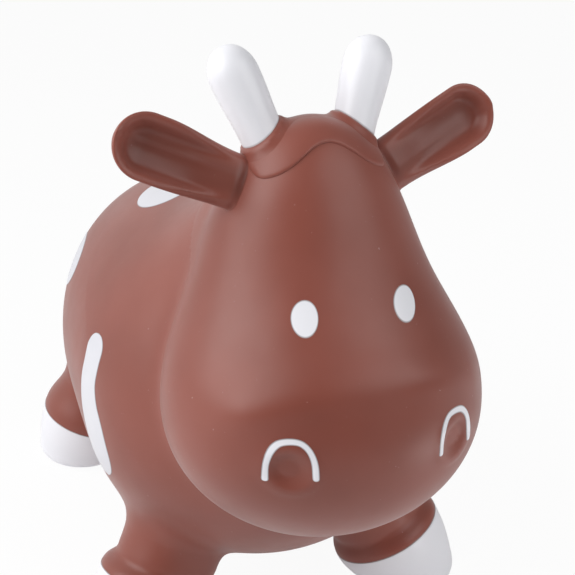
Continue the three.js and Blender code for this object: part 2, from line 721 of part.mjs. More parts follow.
const patches = [
  {
    name: 'patch_flank_right',
    cast: fromSide(-1),
    path: [
      [-0.28, 0.39], [-0.29, 0.23], [-0.295, 0.1], [-0.32, -0.02],
      [-0.365, -0.14], [-0.395, -0.26], [-0.41, -0.38],
    ],
    width: (t) => {
      const lower = THREE.MathUtils.smoothstep(t, 0.15, 0.75);
      return THREE.MathUtils.lerp(FLANK_STRIPE.top, FLANK_STRIPE.foot, lower);
    },
  },
  { name: 'patch_rump_right', cast: fromSide(-1), middle: [0.43, 0.38], size: RUMP_PATCH_RIGHT, tilt: -12 },
  { name: 'patch_rump_left', cast: fromSide(1), middle: [0.5, 0.22], size: RUMP_PATCH_LEFT, tilt: -30 },
  { name: 'patch_shoulder_left', cast: fromSide(1), middle: [-0.22, 0.3], size: SHOULDER_PATCH, tilt: -15 },
  {
    name: 'patch_flank_left',
    cast: fromSide(1),
    path: [[0.1, 0.2], [0.16, 0.06], [0.14, -0.1], [0.2, -0.26]],
    width: () => LEFT_STRIPE_WIDTH,
  },
];

function patch({ cast, path, width, middle, size, tilt }) {
  if (path) return stroke(cast, path.map(onTorso), (t) => width(t) / 2, PAINT);
  return pad(cast, onTorso(middle), ellipse(size.width, size.height, tilt), PAINT);
}

function backPatch() {
  const middle = [-0.34 * torsoRadii.x, 0.127 * torsoRadii.y];
  return pad(fromAbove, middle, ellipse(BACK_PATCH.width, BACK_PATCH.length), PAINT);
}

// A tail moulded low on the rump, with a tuft at its end
function tail() {
  const top = torsoCentre.z + TAIL_LIFT;
  const path = [[0, 0], [0.1, 0.3], [-0.08, 0.65], [0.04, 1]].map(([x, down]) => [
    x * TAIL_LENGTH,
    top - down * TAIL_LENGTH,
  ]);
  const halfWidth = (t) => {
    const tuft = THREE.MathUtils.smoothstep(t, 0.6, 0.85);
    return THREE.MathUtils.lerp(TAIL_WIDTH, TAIL_TUFT_WIDTH, tuft) / 2;
  };
  return stroke(fromBehind, path, halfWidth, TAIL_RISE, true);
}

// The air stopper, pushed up into the boss on the belly
function valvePlug() {
  const top = valveFace - CLEARANCE;
  const bottom = top - PLUG_HEAD_THICKNESS;
  const edge = PLUG_HEAD_THICKNESS / 3;
  const tip = top + PLUG_STEM_LENGTH;
  const profile = [
    [0, bottom],
    [PLUG_HEAD_RADIUS - edge, bottom],
    [PLUG_HEAD_RADIUS, bottom + edge],
    [PLUG_HEAD_RADIUS, top],
    [PLUG_STEM_RADIUS, top],
    [PLUG_STEM_RADIUS, top + VALVE_BOSS_DEPTH],
    [PLUG_TIP_RADIUS, tip - edge],
    [PLUG_TIP_RADIUS - edge, tip],
    [0, tip],
  ];
  return lathe(profile).translate(0, VALVE_BACK, 0);
}

const cow = new THREE.Group();

function addPiece(name, geometry, color, roughness) {
  const material = new THREE.MeshStandardMaterial({ color, roughness, metalness: 0 });
  const mesh = new THREE.Mesh(geometry, material);
  mesh.name = name;
  cow.add(mesh);
}

addPiece('body_skin', bodySkin(), BROWN, 0.45);
for (const foot of feet) addPiece(`hoof_${foot.name}`, hoof(foot), WHITE, 0.35);
for (const place of horns) addPiece(`horn_${place.hand}`, horn(place), WHITE, 0.35);
for (const place of ears) addPiece(`ear_${place.hand}`, ear(place), BROWN, 0.45);
addPiece('forelock', geometryOf(forelock()), BROWN, 0.45);
for (const [hand, side] of sides) {
  addPiece(`eye_${hand}`, geometryOf(eye(side)), WHITE, 0.35);
  addPiece(`nostril_${hand}`, geometryOf(nostril(side)), WHITE, 0.35);
}
for (const place of patches) addPiece(place.name, geometryOf(patch(place)), WHITE, 0.35);
addPiece('patch_back', geometryOf(backPatch()), WHITE, 0.35);
addPiece('tail', geometryOf(tail()), BROWN, 0.45);
addPiece('valve_plug', valvePlug(), WHITE, 0.4);

const middle = new THREE.Box3().setFromObject(cow).getCenter(vector(0, 0, 0));
cow.position.set(-middle.x, -middle.y, 0);

export default cow;
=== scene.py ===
# %% [markdown]
# # An inflatable cow hopper
#
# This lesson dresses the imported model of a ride-on cow: a hollow skin of soft brown PVC, blown up with
# air, with white hooves, horns and coat patches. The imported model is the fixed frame. It says where every
# piece is and which body it moves with. Here each piece gets its fine surface and its finish, and nothing
# is moved or resized.

# %% Load the frame
import json
import math

import bpy
import numpy as np
import openvdb
from mathutils import Matrix, Vector


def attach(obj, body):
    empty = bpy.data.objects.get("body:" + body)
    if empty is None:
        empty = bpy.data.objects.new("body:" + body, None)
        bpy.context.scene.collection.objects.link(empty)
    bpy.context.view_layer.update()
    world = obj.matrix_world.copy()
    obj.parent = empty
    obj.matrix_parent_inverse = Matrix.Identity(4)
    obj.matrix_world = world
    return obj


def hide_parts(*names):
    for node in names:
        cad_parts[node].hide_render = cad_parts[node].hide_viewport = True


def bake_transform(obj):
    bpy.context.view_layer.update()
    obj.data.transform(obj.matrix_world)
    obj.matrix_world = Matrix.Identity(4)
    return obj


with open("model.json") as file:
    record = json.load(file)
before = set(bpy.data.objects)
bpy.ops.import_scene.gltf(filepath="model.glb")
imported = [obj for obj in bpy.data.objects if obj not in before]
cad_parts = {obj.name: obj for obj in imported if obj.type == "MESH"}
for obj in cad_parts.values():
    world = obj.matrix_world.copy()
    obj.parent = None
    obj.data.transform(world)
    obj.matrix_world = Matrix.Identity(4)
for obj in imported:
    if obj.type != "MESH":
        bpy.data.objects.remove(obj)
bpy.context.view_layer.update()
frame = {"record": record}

# %% [markdown]
# ## One form for the whole skin
#
# The real skin is one moulding, so torso, neck, head and legs run into each other without a seam.
# Subdivision surfaces could model that, but every join would need its own patchwork of faces. A distance
# field is easier: each member is a formula that is negative inside and positive outside, and a smooth
# minimum melts two members together. The sizes repeat those of the CAD source, in millimetres, with
# sharper folds over the legs and a narrower lip at the front cuffs. Y counts from the middle of the
# torso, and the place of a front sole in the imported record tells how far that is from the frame's own
# origin.

# %% Sizes of the skin
MM = 0.001
TORSO = ((0, 0, 190), (142, 212, 144))  # middle and half sizes
CHEST = ((0, -79, 161.5), (132.5, 110.5, 107.5))
CROWN = ((0, -166, 337), (70, 59, 106))
MUZZLE = ((0, -203, 242), (115, 104.5, 93))
NECK_BASE, NECK_BASE_RADIUS = (0, -57, 226), 105
NECK_TOP, NECK_TOP_RADIUS = (0, -122, 328), 69
CHEST_BLEND, NECK_BLEND, FACE_BLEND, HEAD_BLEND, LEG_BLEND = 63, 73, 126, 24, 22

FRONT_FOOT = {"spread": 244, "along": -123, "splay": 23.5, "lean": -12}
REAR_FOOT = {"spread": 207, "along": 165, "splay": 13, "lean": 7}  # splay and lean in degrees
FRONT_LEG = {"waist": 39, "flare": 12, "crease": 1.8}  # a narrow lip at the cuff, with a groove above it
REAR_LEG = {"waist": 35, "flare": 26, "crease": 0}  # a wide flare
CUFF_HEIGHT, CUFF_RADIUS = 48, 48
CREASE_LIFT, CREASE_WIDTH = 13, 5
STUB_LENGTH, STUB_TUCK, STUB_EDGE = 16, 4, 5  # the brown runs on, narrower, inside the hoof
WAIST_HEIGHT, LEG_TAPER, WAIST_FILL = 86, 0.09, 5  # the inner side is fuller by the fill
LEG_REACH, LEG_TOP = 200, 90  # the top of a leg tapers off inside the torso

soles = {mount["name"]: mount["pos_m"] for mount in frame["record"]["mounts"]}
ORIGIN = np.array([0, soles["sole_front_right"][1] / MM - FRONT_FOOT["along"], 0])
print("the torso's middle lies at Y =", round(ORIGIN[1], 2), "mm in the frame")


# %% The distance field
def unit(v):
    v = np.asarray(v, float)
    return v / np.linalg.norm(v, axis=-1, keepdims=True)


def ramp(low, high, x):
    t = np.clip((x - low) / (high - low), 0, 1)
    return t * t * (3 - 2 * t)


def bell(x, width):
    return np.exp(-(x / width) ** 2)


def smooth_min(a, b, k):
    h = np.maximum(k - np.abs(a - b), 0) / k
    return np.minimum(a, b) - h ** 3 * k / 6


def smooth_max(a, b, k):
    return -smooth_min(-a, -b, k)


def ellipsoid(p, middle, radii):
    q = (p - np.array(middle)) / np.array(radii)
    k0 = np.linalg.norm(q, axis=-1) + 1e-9
    k1 = np.linalg.norm(q / np.array(radii), axis=-1) + 1e-9
    return k0 * (k0 - 1) / k1


def tapered_rod(p, a, b, radius_a, radius_b):
    a, along = np.array(a, float), np.array(b, float) - np.array(a, float)
    t = np.clip((p - a) @ along / (along @ along), 0, 1)
    return np.linalg.norm(p - a - t[..., None] * along, axis=-1) - (radius_a + (radius_b - radius_a) * t)


def foot_place(foot, side):
    x, y = -side * math.sin(math.radians(foot["splay"])), -math.sin(math.radians(foot["lean"]))
    sole = np.array([side * foot["spread"] / 2, foot["along"], 0.0])
    return sole, np.array([x, y, math.sqrt(1 - x * x - y * y)])


def along_axis(p, base, axis):
    """Height along an axis and distance from it."""
    v = p - base
    h = v @ axis
    return h, np.sqrt(np.maximum((v * v).sum(-1) - h * h, 0))


def leg(p, sole, up, shape):
    h, away = along_axis(p, sole, up)
    lip = bell(np.maximum(h - CUFF_HEIGHT, 0), shape["flare"])
    inwards = -np.sign(sole[0]) * (p[..., 0] - sole[0] - h * up[0]) / np.maximum(away, 1)
    waist = shape["waist"] + WAIST_FILL * ramp(0, 1, inwards)
    radius = waist + (CUFF_RADIUS - waist) * lip + LEG_TAPER * np.maximum(h - WAIST_HEIGHT, 0)
    radius = radius - shape["crease"] * bell(h - CUFF_HEIGHT - CREASE_LIFT, CREASE_WIDTH)
    radius = radius - STUB_TUCK * ramp(0, STUB_LENGTH, CUFF_HEIGHT - h)
    d = smooth_max(away - radius, CUFF_HEIGHT - STUB_LENGTH - h, STUB_EDGE)
    return smooth_max(d, h - LEG_REACH, LEG_TOP)


SIDES = {"right": -1, "left": 1}
FEET = {f"{end}_{hand}": foot_place(foot, side)
        for end, foot in (("front", FRONT_FOOT), ("rear", REAR_FOOT))
        for hand, side in SIDES.items()}


def plain_skin(p):
    d = smooth_min(ellipsoid(p, *TORSO), ellipsoid(p, *CHEST), CHEST_BLEND)
    d = smooth_min(d, tapered_rod(p, NECK_BASE, NECK_TOP, NECK_BASE_RADIUS, NECK_TOP_RADIUS), NECK_BLEND)
    for name, (sole, up) in FEET.items():
        shape = FRONT_LEG if name.startswith("front") else REAR_LEG
        d = smooth_min(d, leg(p, sole, up, shape), LEG_BLEND)
    face = smooth_min(ellipsoid(p, *CROWN), ellipsoid(p, *MUZZLE), FACE_BLEND)
    return smooth_min(d, face, HEAD_BLEND)


def slope(field, p, step=0.4):
    shifts = step * np.eye(3)
    return np.stack([field(p + s) - field(p - s) for s in shifts], -1) / (2 * step)


def cast(field, start, direction, steps=140, stride=0.6):
    """Where rays from outside first meet the surface of a field."""
    p = np.array(start, float)
    for _ in range(steps):
        p += np.asarray(direction) * (field(p) * stride)[..., None]
    return p


print("belly height:", round(float(cast(plain_skin, [[0, 0, 0]], (0, 0, 1))[0, 2]), 1), "mm")

# %% [markdown]
# ## Relief on the skin
#
# The mould adds small forms: a flared collar round each horn, a soft edge where the top of the muzzle
# turns into its front, and a round dimple with a faint rim in each nostril. The collar is one more member
# melted into the field. The others are heights over the plain skin that depend on the place, so they are
# simply taken off the field. That keeps the relief real geometry instead of a bump in the material.

# %% Sizes of the relief
HORN_SPACING, HORN_SETBACK, HORN_SPLAY, HORN_RAKE = 67, 6, 20, 20  # splay and rake in degrees
COLLAR_RADIUS, COLLAR_RISE, COLLAR_EDGE, COLLAR_BLEND = 17.4, 4.5, 2.5, 13
NOSTRIL_SPACING, NOSTRIL_LIFT, NOSTRIL_WIDTH, NOSTRIL_HEIGHT = 120, 1, 29.5, 26
DIMPLE_LIFT, DIMPLE_FLOOR, DIMPLE_RADIUS, DIMPLE_DEPTH = 5.5, 5, 14.5, 3.6
RIM_RADIUS, RIM_WIDTH, RIM_RISE = 16.5, 3.5, 0.7
RIDGE_HEIGHT, RIDGE_WIDTH, RIDGE_RISE, RIDGE_BEND = 302, 14, 3.2, 0.0026
RIDGE_END, RELIEF_FADE = 0.7, 30  # a share of the muzzle's half width, and a depth

crown_middle, muzzle_middle = np.array(CROWN[0]), np.array(MUZZLE[0])
FAR = 900


def horn_place(side):
    x, y = side * math.sin(math.radians(HORN_SPLAY)), math.sin(math.radians(HORN_RAKE))
    above = [[side * HORN_SPACING / 2, crown_middle[1] + HORN_SETBACK, FAR]]
    return cast(plain_skin, above, (0, 0, -1))[0], np.array([x, y, math.sqrt(1 - x * x - y * y)])


HORNS = {hand: horn_place(side) for hand, side in SIDES.items()}
NOSTRILS = {hand: np.array([side * NOSTRIL_SPACING / 2, muzzle_middle[2] + NOSTRIL_LIFT])
            for hand, side in SIDES.items()}
print("horns stand at", {hand: base.round(1).tolist() for hand, (base, _) in HORNS.items()})


# %% The dressed field
def muzzle_relief(p):
    x, y, z = p[..., 0], p[..., 1], p[..., 2]
    ridge = RIDGE_RISE * bell(z - RIDGE_HEIGHT + RIDGE_BEND * x * x, RIDGE_WIDTH)
    height = ridge * (1 - ramp(RIDGE_END, 1, np.abs(x) / MUZZLE[1][0]))
    for middle in NOSTRILS.values():
        away = np.hypot(x - middle[0], z - middle[1] - DIMPLE_LIFT)
        height = height - DIMPLE_DEPTH * (1 - ramp(DIMPLE_FLOOR, DIMPLE_RADIUS, away))
        height = height + RIM_RISE * bell(away - RIM_RADIUS, RIM_WIDTH)
    return height * (1 - ramp(-RELIEF_FADE, 0, y - muzzle_middle[1]))


def skin(p):
    plain = plain_skin(p)
    d = plain - muzzle_relief(p)
    for base, axis in HORNS.values():
        h, away = along_axis(p, base, axis)
        collar = smooth_max(away - COLLAR_RADIUS, plain - COLLAR_RISE, COLLAR_EDGE)
        collar = np.maximum(collar, -h - COLLAR_RADIUS)
        d = smooth_min(d, collar, COLLAR_BLEND)
    return d


in_dimple = np.array([NOSTRILS["left"][0], -FAR, NOSTRILS["left"][1] + DIMPLE_LIFT])
print("a nostril's dimple is", round(float(-muzzle_relief(in_dimple)), 1), "mm deep")

# %% [markdown]
# ## From a field to a mesh
#
# Blender's own remesher works on a mesh, not on a formula. OpenVDB, which comes with Blender, turns a
# grid of field values into even quads. Those corners lie only near the surface, so they are relaxed
# towards their neighbours and drawn back onto the exact form, and the field's slope gives each one its
# true normal.

# %% Mesh helpers
SKIN_CELL = 3.0
LEAST_SLOPE = 0.2  # squared, so that no step runs away where the field is flat


def new_mesh(name, points, faces, normals=None):
    """A smooth object from points in millimetres of the skin's own frame."""
    mesh = bpy.data.meshes.new(name)
    mesh.from_pydata(((np.asarray(points) + ORIGIN) * MM).tolist(), [], [list(f) for f in faces])
    mesh.polygons.foreach_set("use_smooth", np.ones(len(mesh.polygons), bool))
    if normals is not None:
        mesh.normals_split_custom_set_from_vertices(np.asarray(normals).tolist())
    piece = bpy.data.objects.new(name, mesh)
    bpy.context.scene.collection.objects.link(piece)
    print(f"{name}: {len(mesh.vertices)} points, {len(mesh.polygons)} faces")
    return piece


def draw_onto(field, p, times):
    for _ in range(times):
        g = slope(field, p)
        p = p - g * (field(p) / np.maximum((g * g).sum(-1), LEAST_SLOPE))[:, None]
    return p


def relaxed(p, quads):
    """Each corner moved to the middle of its neighbours."""
    total, count = np.zeros_like(p), np.zeros(len(p))
    for a, b in ((0, 1), (1, 2), (2, 3), (3, 0)):
        np.add.at(total, quads[:, a], p[quads[:, b]])
        np.add.at(total, quads[:, b], p[quads[:, a]])
        np.add.at(count, quads[:, a], 1)
        np.add.at(count, quads[:, b], 1)
    return total / count[:, None]


def field_surface(field, low, high, cell, rounds=3):
    lines = [np.arange(a, b + cell, cell) for a, b in zip(low, high)]
    values = np.empty([len(line) for line in lines], np.float32)
    y, z = np.meshgrid(lines[1], lines[2], indexing="ij")
    for n, x in enumerate(lines[0]):
        values[n] = field(np.stack([np.full_like(y, x), y, z], -1))
    grid = openvdb.FloatGrid(background=float(cell))
    grid.copyFromArray(values / cell)
    points, quads = grid.convertToQuads(isovalue=0.0)
    p = np.array([line[0] for line in lines]) + np.asarray(points, float) * cell
    quads = np.asarray(quads)
    for _ in range(rounds):
        p = draw_onto(field, 0.5 * p + 0.5 * relaxed(p, quads), 2)
    return p, quads


print("the skin's mesh has cells of", SKIN_CELL, "mm")

# %% The brown skin
SKIN_LOW, SKIN_HIGH = (-172, -318, 18), (172, 222, 456)
VALVE_BACK, VALVE_HOLE = 62, 7
points, quads = field_surface(skin, SKIN_LOW, SKIN_HIGH, SKIN_CELL)
at_valve = (np.hypot(points[:, 0], points[:, 1] - VALVE_BACK) < VALVE_HOLE) & (points[:, 2] < TORSO[0][2])
quads = quads[~at_valve[quads].any(1)]  # open over the valve, hidden by its boss
kept, quads = np.unique(quads, return_inverse=True)
points, quads = points[kept], quads.reshape(-1, 4)
cow_skin = new_mesh("cow_skin", points, quads, unit(slope(skin, points)))
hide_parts("body_skin")

# %% [markdown]
# ## Hooves
#
# Each hoof is the white foot of the leg below the cuff: a short boot with a flat sole and a soft lower
# edge. A spun profile would do if the leg stood upright. It leans, so the rings turn step by step from
# the flat sole to the cuff's tilted plane, as in the CAD source, with many more of them.

# %% Lofts
AROUND = 72
HOOF_RADIUS, HOOF_EDGE, HOOF_BULGE, HOOF_PROUD = 45.5, 14, 1.2, 0.3


def loft(rings, hollow=False):
    """Quads over a list of equal rings of points: the ends closed by fans, or joined round a hole."""
    count, last = len(rings[0]), len(rings) - 1
    points = np.vstack(rings)
    faces = []
    for n in range(count):
        m = (n + 1) % count
        for r in range(last):
            faces.append((r * count + n, r * count + m, (r + 1) * count + m, (r + 1) * count + n))
        if hollow:
            faces.append((last * count + n, last * count + m, m, n))
        else:
            faces += [(len(points), m, n), (len(points) + 1, last * count + n, last * count + m)]
    if not hollow:
        points = np.vstack([points, np.mean(rings[0], 0), np.mean(rings[-1], 0)])
    corners = points[[f[:3] for f in faces] + [(f[0], f[-2], f[-1]) for f in faces if len(f) == 4]]
    volume = np.einsum("ij,ij->i", corners[:, 0], np.cross(corners[:, 1], corners[:, 2])).sum()
    return points, (faces if volume > 0 else [f[::-1] for f in faces])  # faces look outwards


def turn_from_z(normal):
    return np.array(Vector((0, 0, 1)).rotation_difference(Vector(normal)).to_matrix())


def circle(count=AROUND):
    angle = np.linspace(0, 2 * math.pi, count, endpoint=False)
    return np.stack([np.cos(angle), np.sin(angle), np.zeros(count)], -1)


print("a loft's ring has", len(circle()), "points")

# %% The four hooves
HOOF_EDGE_RINGS, HOOF_WALL_RINGS = 12, 20
HOOF_RIM_TUCK, HOOF_RIM_RISE = 1.5, 0.4


def hoof_profile():
    """Radius and height pairs, from the sole's middle up to the rim inside the cuff."""
    turns = np.linspace(0, math.pi / 2, HOOF_EDGE_RINGS)
    edge = [(HOOF_RADIUS - HOOF_EDGE * (1 - math.sin(a)), HOOF_EDGE * (1 - math.cos(a))) for a in turns]
    wall = []
    for share in np.linspace(0, 1, HOOF_WALL_RINGS)[1:]:
        radius = HOOF_RADIUS + (CUFF_RADIUS + HOOF_PROUD - HOOF_RADIUS) * share
        radius += HOOF_BULGE * math.sin(math.pi * share)
        wall.append((radius, HOOF_EDGE + (CUFF_HEIGHT - HOOF_EDGE) * share))
    sole = [(share * edge[0][0], 0) for share in (0.3, 0.7)]
    rim = [(radius, CUFF_HEIGHT + HOOF_RIM_RISE) for radius in (CUFF_RADIUS - HOOF_RIM_TUCK, CUFF_RADIUS / 2)]
    return [*sole, *edge, *wall, *rim]


def hoof_rings(sole, up):
    rings = []
    for radius, h in hoof_profile():
        share = min(h / CUFF_HEIGHT, 1)
        normal = unit((1 - share) * np.array([0, 0, 1]) + share * up)
        rings.append(sole + up * h + radius * circle() @ turn_from_z(normal).T)
    return rings


def keep_number(piece, name, values):
    """A number for each point that the material can read."""
    attribute = piece.data.attributes.new(name, "FLOAT", "POINT")
    attribute.data.foreach_set("value", np.asarray(values, np.float32))


def mark_edge(piece, distance):
    """Keeps each point's distance in millimetres from the edge of the paint."""
    keep_number(piece, "from_edge", distance)


hooves = []
for name, (sole, up) in FEET.items():
    points, faces = loft(hoof_rings(sole, up))
    hoof = new_mesh(f"white_hoof_{name}", points, faces)
    mark_edge(hoof, CUFF_HEIGHT - along_axis(points, sole, up)[0])
    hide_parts(f"hoof_{name}")
    hooves.append(hoof)

# %% [markdown]
# ## Horns
#
# The horns are white thumbs, a little thicker towards the tip, that rise out of the brown lip on the
# head. A subdivided cylinder could be pulled into shape by hand. They are true bodies of revolution, so a
# spun profile is the better tool: a slow taper, then a round end.

# %% The two horns
HORN_LENGTH, HORN_BASE_RADIUS, HORN_TIP_RADIUS, HORN_TIP_LENGTH, HORN_SUNK = 66, 15.3, 17.5, 22, 14
HORN_TIP_POWER = 0.9  # a little blunter than a ball
HORN_AROUND, HORN_RINGS, HORN_TIP_RINGS = 64, 22, 20
HORN_LINE = 0.5  # halves the distance from the edge, which doubles the width of the dark line


def horn_rings(base, axis):
    centre = HORN_LENGTH - HORN_TIP_LENGTH
    profile = [(0.5 * HORN_BASE_RADIUS, -HORN_SUNK)]
    for h in np.linspace(-HORN_SUNK, centre, HORN_RINGS):
        profile.append((HORN_BASE_RADIUS + (HORN_TIP_RADIUS - HORN_BASE_RADIUS) * ramp(0, centre, h), h))
    for a in np.linspace(0, math.pi / 2, HORN_TIP_RINGS)[1:-1]:
        radius = HORN_TIP_RADIUS * math.cos(a) ** HORN_TIP_POWER
        profile.append((radius, centre + HORN_TIP_LENGTH * math.sin(a)))
    turn = turn_from_z(axis)
    return [base + axis * h + radius * circle(HORN_AROUND) @ turn.T for radius, h in profile]


horns = []
for hand, (base, axis) in HORNS.items():
    points, faces = loft(horn_rings(base, axis))
    horn = new_mesh(f"white_horn_{hand}", points, faces)
    mark_edge(horn, HORN_LINE * (plain_skin(points) - COLLAR_RISE))
    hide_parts(f"horn_{hand}")
    horns.append(horn)

# %% [markdown]
# ## Ears
#
# The ears are the hand grips: scooped paddles with thick rounded rims, moulded on a soft root. They could
# be sculpted, but a loft of slices across the paddle keeps the rim even and both ears alike. The root
# bends, so the frame has a joint there. The mesh starts on the head in a small fillet.

# %% The form of an ear
EAR_LIFT, EAR_SETBACK, EAR_RISE, EAR_SWEEP, EAR_TURN = 66, -5, 23, 12, 22  # the last three in degrees
EAR_LENGTH, EAR_WIDTH, EAR_THICKNESS, EAR_CUP = 91, 46, 15, 12
EAR_NECK_WIDTH, EAR_NECK_THICKNESS = 39, 22
EAR_SWELL = (0.05, 0.65)  # shares of the length between which the neck widens into the paddle
EAR_TROUGH, EAR_RIDGE, EAR_RIDGE_ASIDE, EAR_RIDGE_WIDTH = 6, 0.6, 0.15, 0.1
# The second pair spreads painted shade over the scoop, from the rim down to its floor.
TROUGH_WALL, PAINTED_SHADE_WALL = (0.16, 0.5), (0.15, 0.75)  # from rim to floor, as shares of the way to the middle
TROUGH_SIDE, TROUGH_ROOT = (0, 0.45), (-0.05, 0.4)  # the trough fades out at the sides and towards the root
WALL = 2.6


def ear_place(side):
    rise, sweep, turn = (math.radians(a) for a in (EAR_RISE, EAR_SWEEP, EAR_TURN))
    level = math.cos(rise)
    length = np.array([side * level * math.cos(sweep), level * math.sin(sweep), math.sin(rise)])
    looks = np.array([0, -math.cos(turn), math.sin(turn)])
    front = unit(looks - length * (looks @ length))
    beside = [[side * FAR, crown_middle[1] + EAR_SETBACK, crown_middle[2] + EAR_LIFT]]
    root = cast(plain_skin, beside, (-side, 0, 0))
    root = root - unit(slope(plain_skin, root)) * WALL / 2
    return root[0], np.cross(front, length), front, length


def ear_section(z, around):
    """One ring of the paddle in its own axes, and the painted shade of its points, more the deeper they lie
    in the scoop.
    """
    wide = EAR_WIDTH / 2
    swell = ramp(*EAR_SWELL, z / EAR_LENGTH)
    past = max(z - (EAR_LENGTH - wide), 0) / wide
    tip = math.sqrt(max(1 - past * past, 0))
    half_width = (EAR_NECK_WIDTH / 2 + (wide - EAR_NECK_WIDTH / 2) * swell) * tip
    half_depth = (EAR_NECK_THICKNESS + (EAR_THICKNESS - EAR_NECK_THICKNESS) * swell) / 2 * math.sqrt(tip)
    x = half_width * np.cos(around)
    y = half_depth * np.sin(around) + EAR_CUP * swell * ((x / wide) ** 2 + past * past)
    inset = 1 - np.hypot(tip * np.cos(around), past)
    ridge = EAR_RIDGE * bell(x + EAR_RIDGE_ASIDE * wide, EAR_RIDGE_WIDTH * wide)
    trough = EAR_TROUGH * ramp(*TROUGH_WALL, inset) - ridge
    in_front = ramp(*TROUGH_SIDE, np.sin(around))
    y = y - trough * in_front * ramp(*TROUGH_ROOT, z / EAR_LENGTH)
    return np.stack([x, y, np.full_like(x, z)], -1), ramp(*PAINTED_SHADE_WALL, inset) * in_front


EARS = {hand: ear_place(side) for hand, side in SIDES.items()}
print("ear roots at", {hand: place[0].round(1).tolist() for hand, place in EARS.items()})

# %% Rings of an ear
FILLET, FILLET_END, FILLET_SINK = 3, 5, 0.6
FOOT_PULL, NECK_PULL = 0.55, 0.45  # how far the fillet's curve follows the head and the neck
FILLET_RINGS, PADDLE_RINGS, TIP_RINGS = 14, 30, 24
# Painted shade in the scoop grows over these shares of the fillet.
PAINTED_SHADE_STARTS = (0, 0.4)  # shares of the fillet


def fillet_rings(neck, root, axes):
    """Rings from inside the head, out over its skin and up to the first section of the paddle."""
    flat = neck * (1, 1, 0)
    flat = flat * (1 + FILLET / np.linalg.norm(flat, axis=-1, keepdims=True))
    neck, foot = neck @ axes + root, draw_onto(plain_skin, flat @ axes + root, 8)
    normal = unit(slope(plain_skin, foot))
    foot = foot - normal * FILLET_SINK
    inward = unit(root - foot - normal * ((root - foot) * normal).sum(-1, keepdims=True))
    reach = np.linalg.norm(neck - foot, axis=-1, keepdims=True)
    corners = (foot, foot + inward * FOOT_PULL * reach, neck - axes[2] * NECK_PULL * reach, neck)
    hidden = foot - normal * WALL
    rings = [hidden * 0.4 + hidden.mean(0) * 0.6, hidden]
    for t in np.linspace(0, 1, FILLET_RINGS)[:-1]:
        weights = ((1 - t) ** 3, 3 * t * (1 - t) ** 2, 3 * t * t * (1 - t), t ** 3)
        rings.append(sum(w * c for w, c in zip(weights, corners)))
    return rings


def ear_rings(root, across, front, length):
    """Rings of the whole ear, and for each point an amount of painted shade that grows with its depth in the
    scoop.
    """
    axes = np.stack([across, front, length])
    around = np.linspace(0, 2 * math.pi, AROUND, endpoint=False)
    neck, neck_shade = ear_section(FILLET_END, around)
    rings = fillet_rings(neck, root, axes)
    shares = np.linspace(0, 1, FILLET_RINGS)[:-1]
    # Painted shade for each point: none inside the head, then growing over the fillet and the scoop.
    hollow = [0 * around, 0 * around, *(neck_shade * ramp(*PAINTED_SHADE_STARTS, t) for t in shares)]
    straight = np.linspace(FILLET_END, EAR_LENGTH - EAR_WIDTH / 2, PADDLE_RINGS)[:-1]
    tip_turns = np.linspace(0, 1, TIP_RINGS)[:-1] * math.pi / 2
    tip = EAR_LENGTH - EAR_WIDTH / 2 * (1 - np.sin(tip_turns))
    for z in (*straight, *tip):
        section, depth = ear_section(z, around)
        rings.append(section @ axes + root)
        hollow.append(depth)
    return rings, np.concatenate([*hollow, [0, 0]])


print("an ear has", len(ear_rings(*EARS["right"])[0]), "rings")

# %% The two ears
ears = []
for hand, (root, across, front, length) in EARS.items():
    rings, hollow = ear_rings(root, across, front, length)
    ear = new_mesh(f"scooped_ear_{hand}", *loft(rings))
    # The hollow numbers carry the painted shade of the scoop to the material.
    keep_number(ear, "hollow", hollow)
    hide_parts(f"ear_{hand}")
    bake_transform(ear)
    ears.append(ear)

# %% [markdown]
# ## Tools for pads and painted marks
#
# Eyes, nostril arches and coat patches are sprayed through stencils. Forelock and tail are raised parts
# of the moulding. Blender's Shrinkwrap could press flat meshes onto the skin, but it works on the mesh's
# squares. Here all are drawn flat, as on a stencil, and cast onto the exact form. A pad is a stack of
# rings about its middle, and a stroke is a ribbon along a curve. Paint gets a real but tiny thickness,
# and keeps the distance from its edge as an attribute, so the material can draw the fine dark line of the
# stencil's edge.

# %% Casting onto the skin
PAINT, PAINT_EDGE, SINK = 0.45, 0.9, 0.8  # thickness, width of the rounded edge, depth in the skin


def place_of(x, y, z):
    return np.stack(np.broadcast_arrays(x, y, z), -1).astype(float)


def from_front(flat):
    return cast(skin, place_of(flat[..., 0], -FAR, flat[..., 1]), (0, 1, 0))


def from_behind(flat):
    return cast(skin, place_of(flat[..., 0], FAR, flat[..., 1]), (0, -1, 0))


def from_above(flat):
    return cast(skin, place_of(flat[..., 0], flat[..., 1], FAR), (0, 0, -1))


def from_side(side):
    return lambda flat: cast(skin, place_of(side * FAR, flat[..., 0], flat[..., 1]), (-side, 0, 0))


def from_brow(flat):
    """Onto the forehead and the crown together, from in front and above."""
    slant, upward = unit([0, 1, -1]), unit([0, 1, 1])
    top = crown_middle + np.array([0, 0, CROWN[1][2]])
    start = top + flat[..., 1:] * upward - FAR * slant
    start[..., 0] = flat[..., 0]
    return cast(plain_skin, start, slant)


def lifted(field, p, height):
    return p + unit(slope(field, p)) * np.asarray(height)[..., None]


print("the back is", round(float(from_above(np.zeros(2))[2]), 1), "mm high in the middle")

# %% Pads
PAD_RINGS, INNERMOST = 9, 0.02  # rings over the top, and the share of the outline where they start


def paint_heights(reach):
    """Shares of the outline and rises over the skin: flat paint with a rounded rim, then its underside."""
    rim = PAINT_EDGE / reach
    top = [(s, PAINT) for s in np.linspace(INNERMOST, 1 - 2 * rim, PAD_RINGS)]
    edge = [(1 - rim, 0.9 * PAINT), (1 - 0.35 * rim, 0.55 * PAINT), (1, 0)]
    return top + edge + [(1, -SINK), (0.5, -SINK), (INNERMOST, -SINK)]


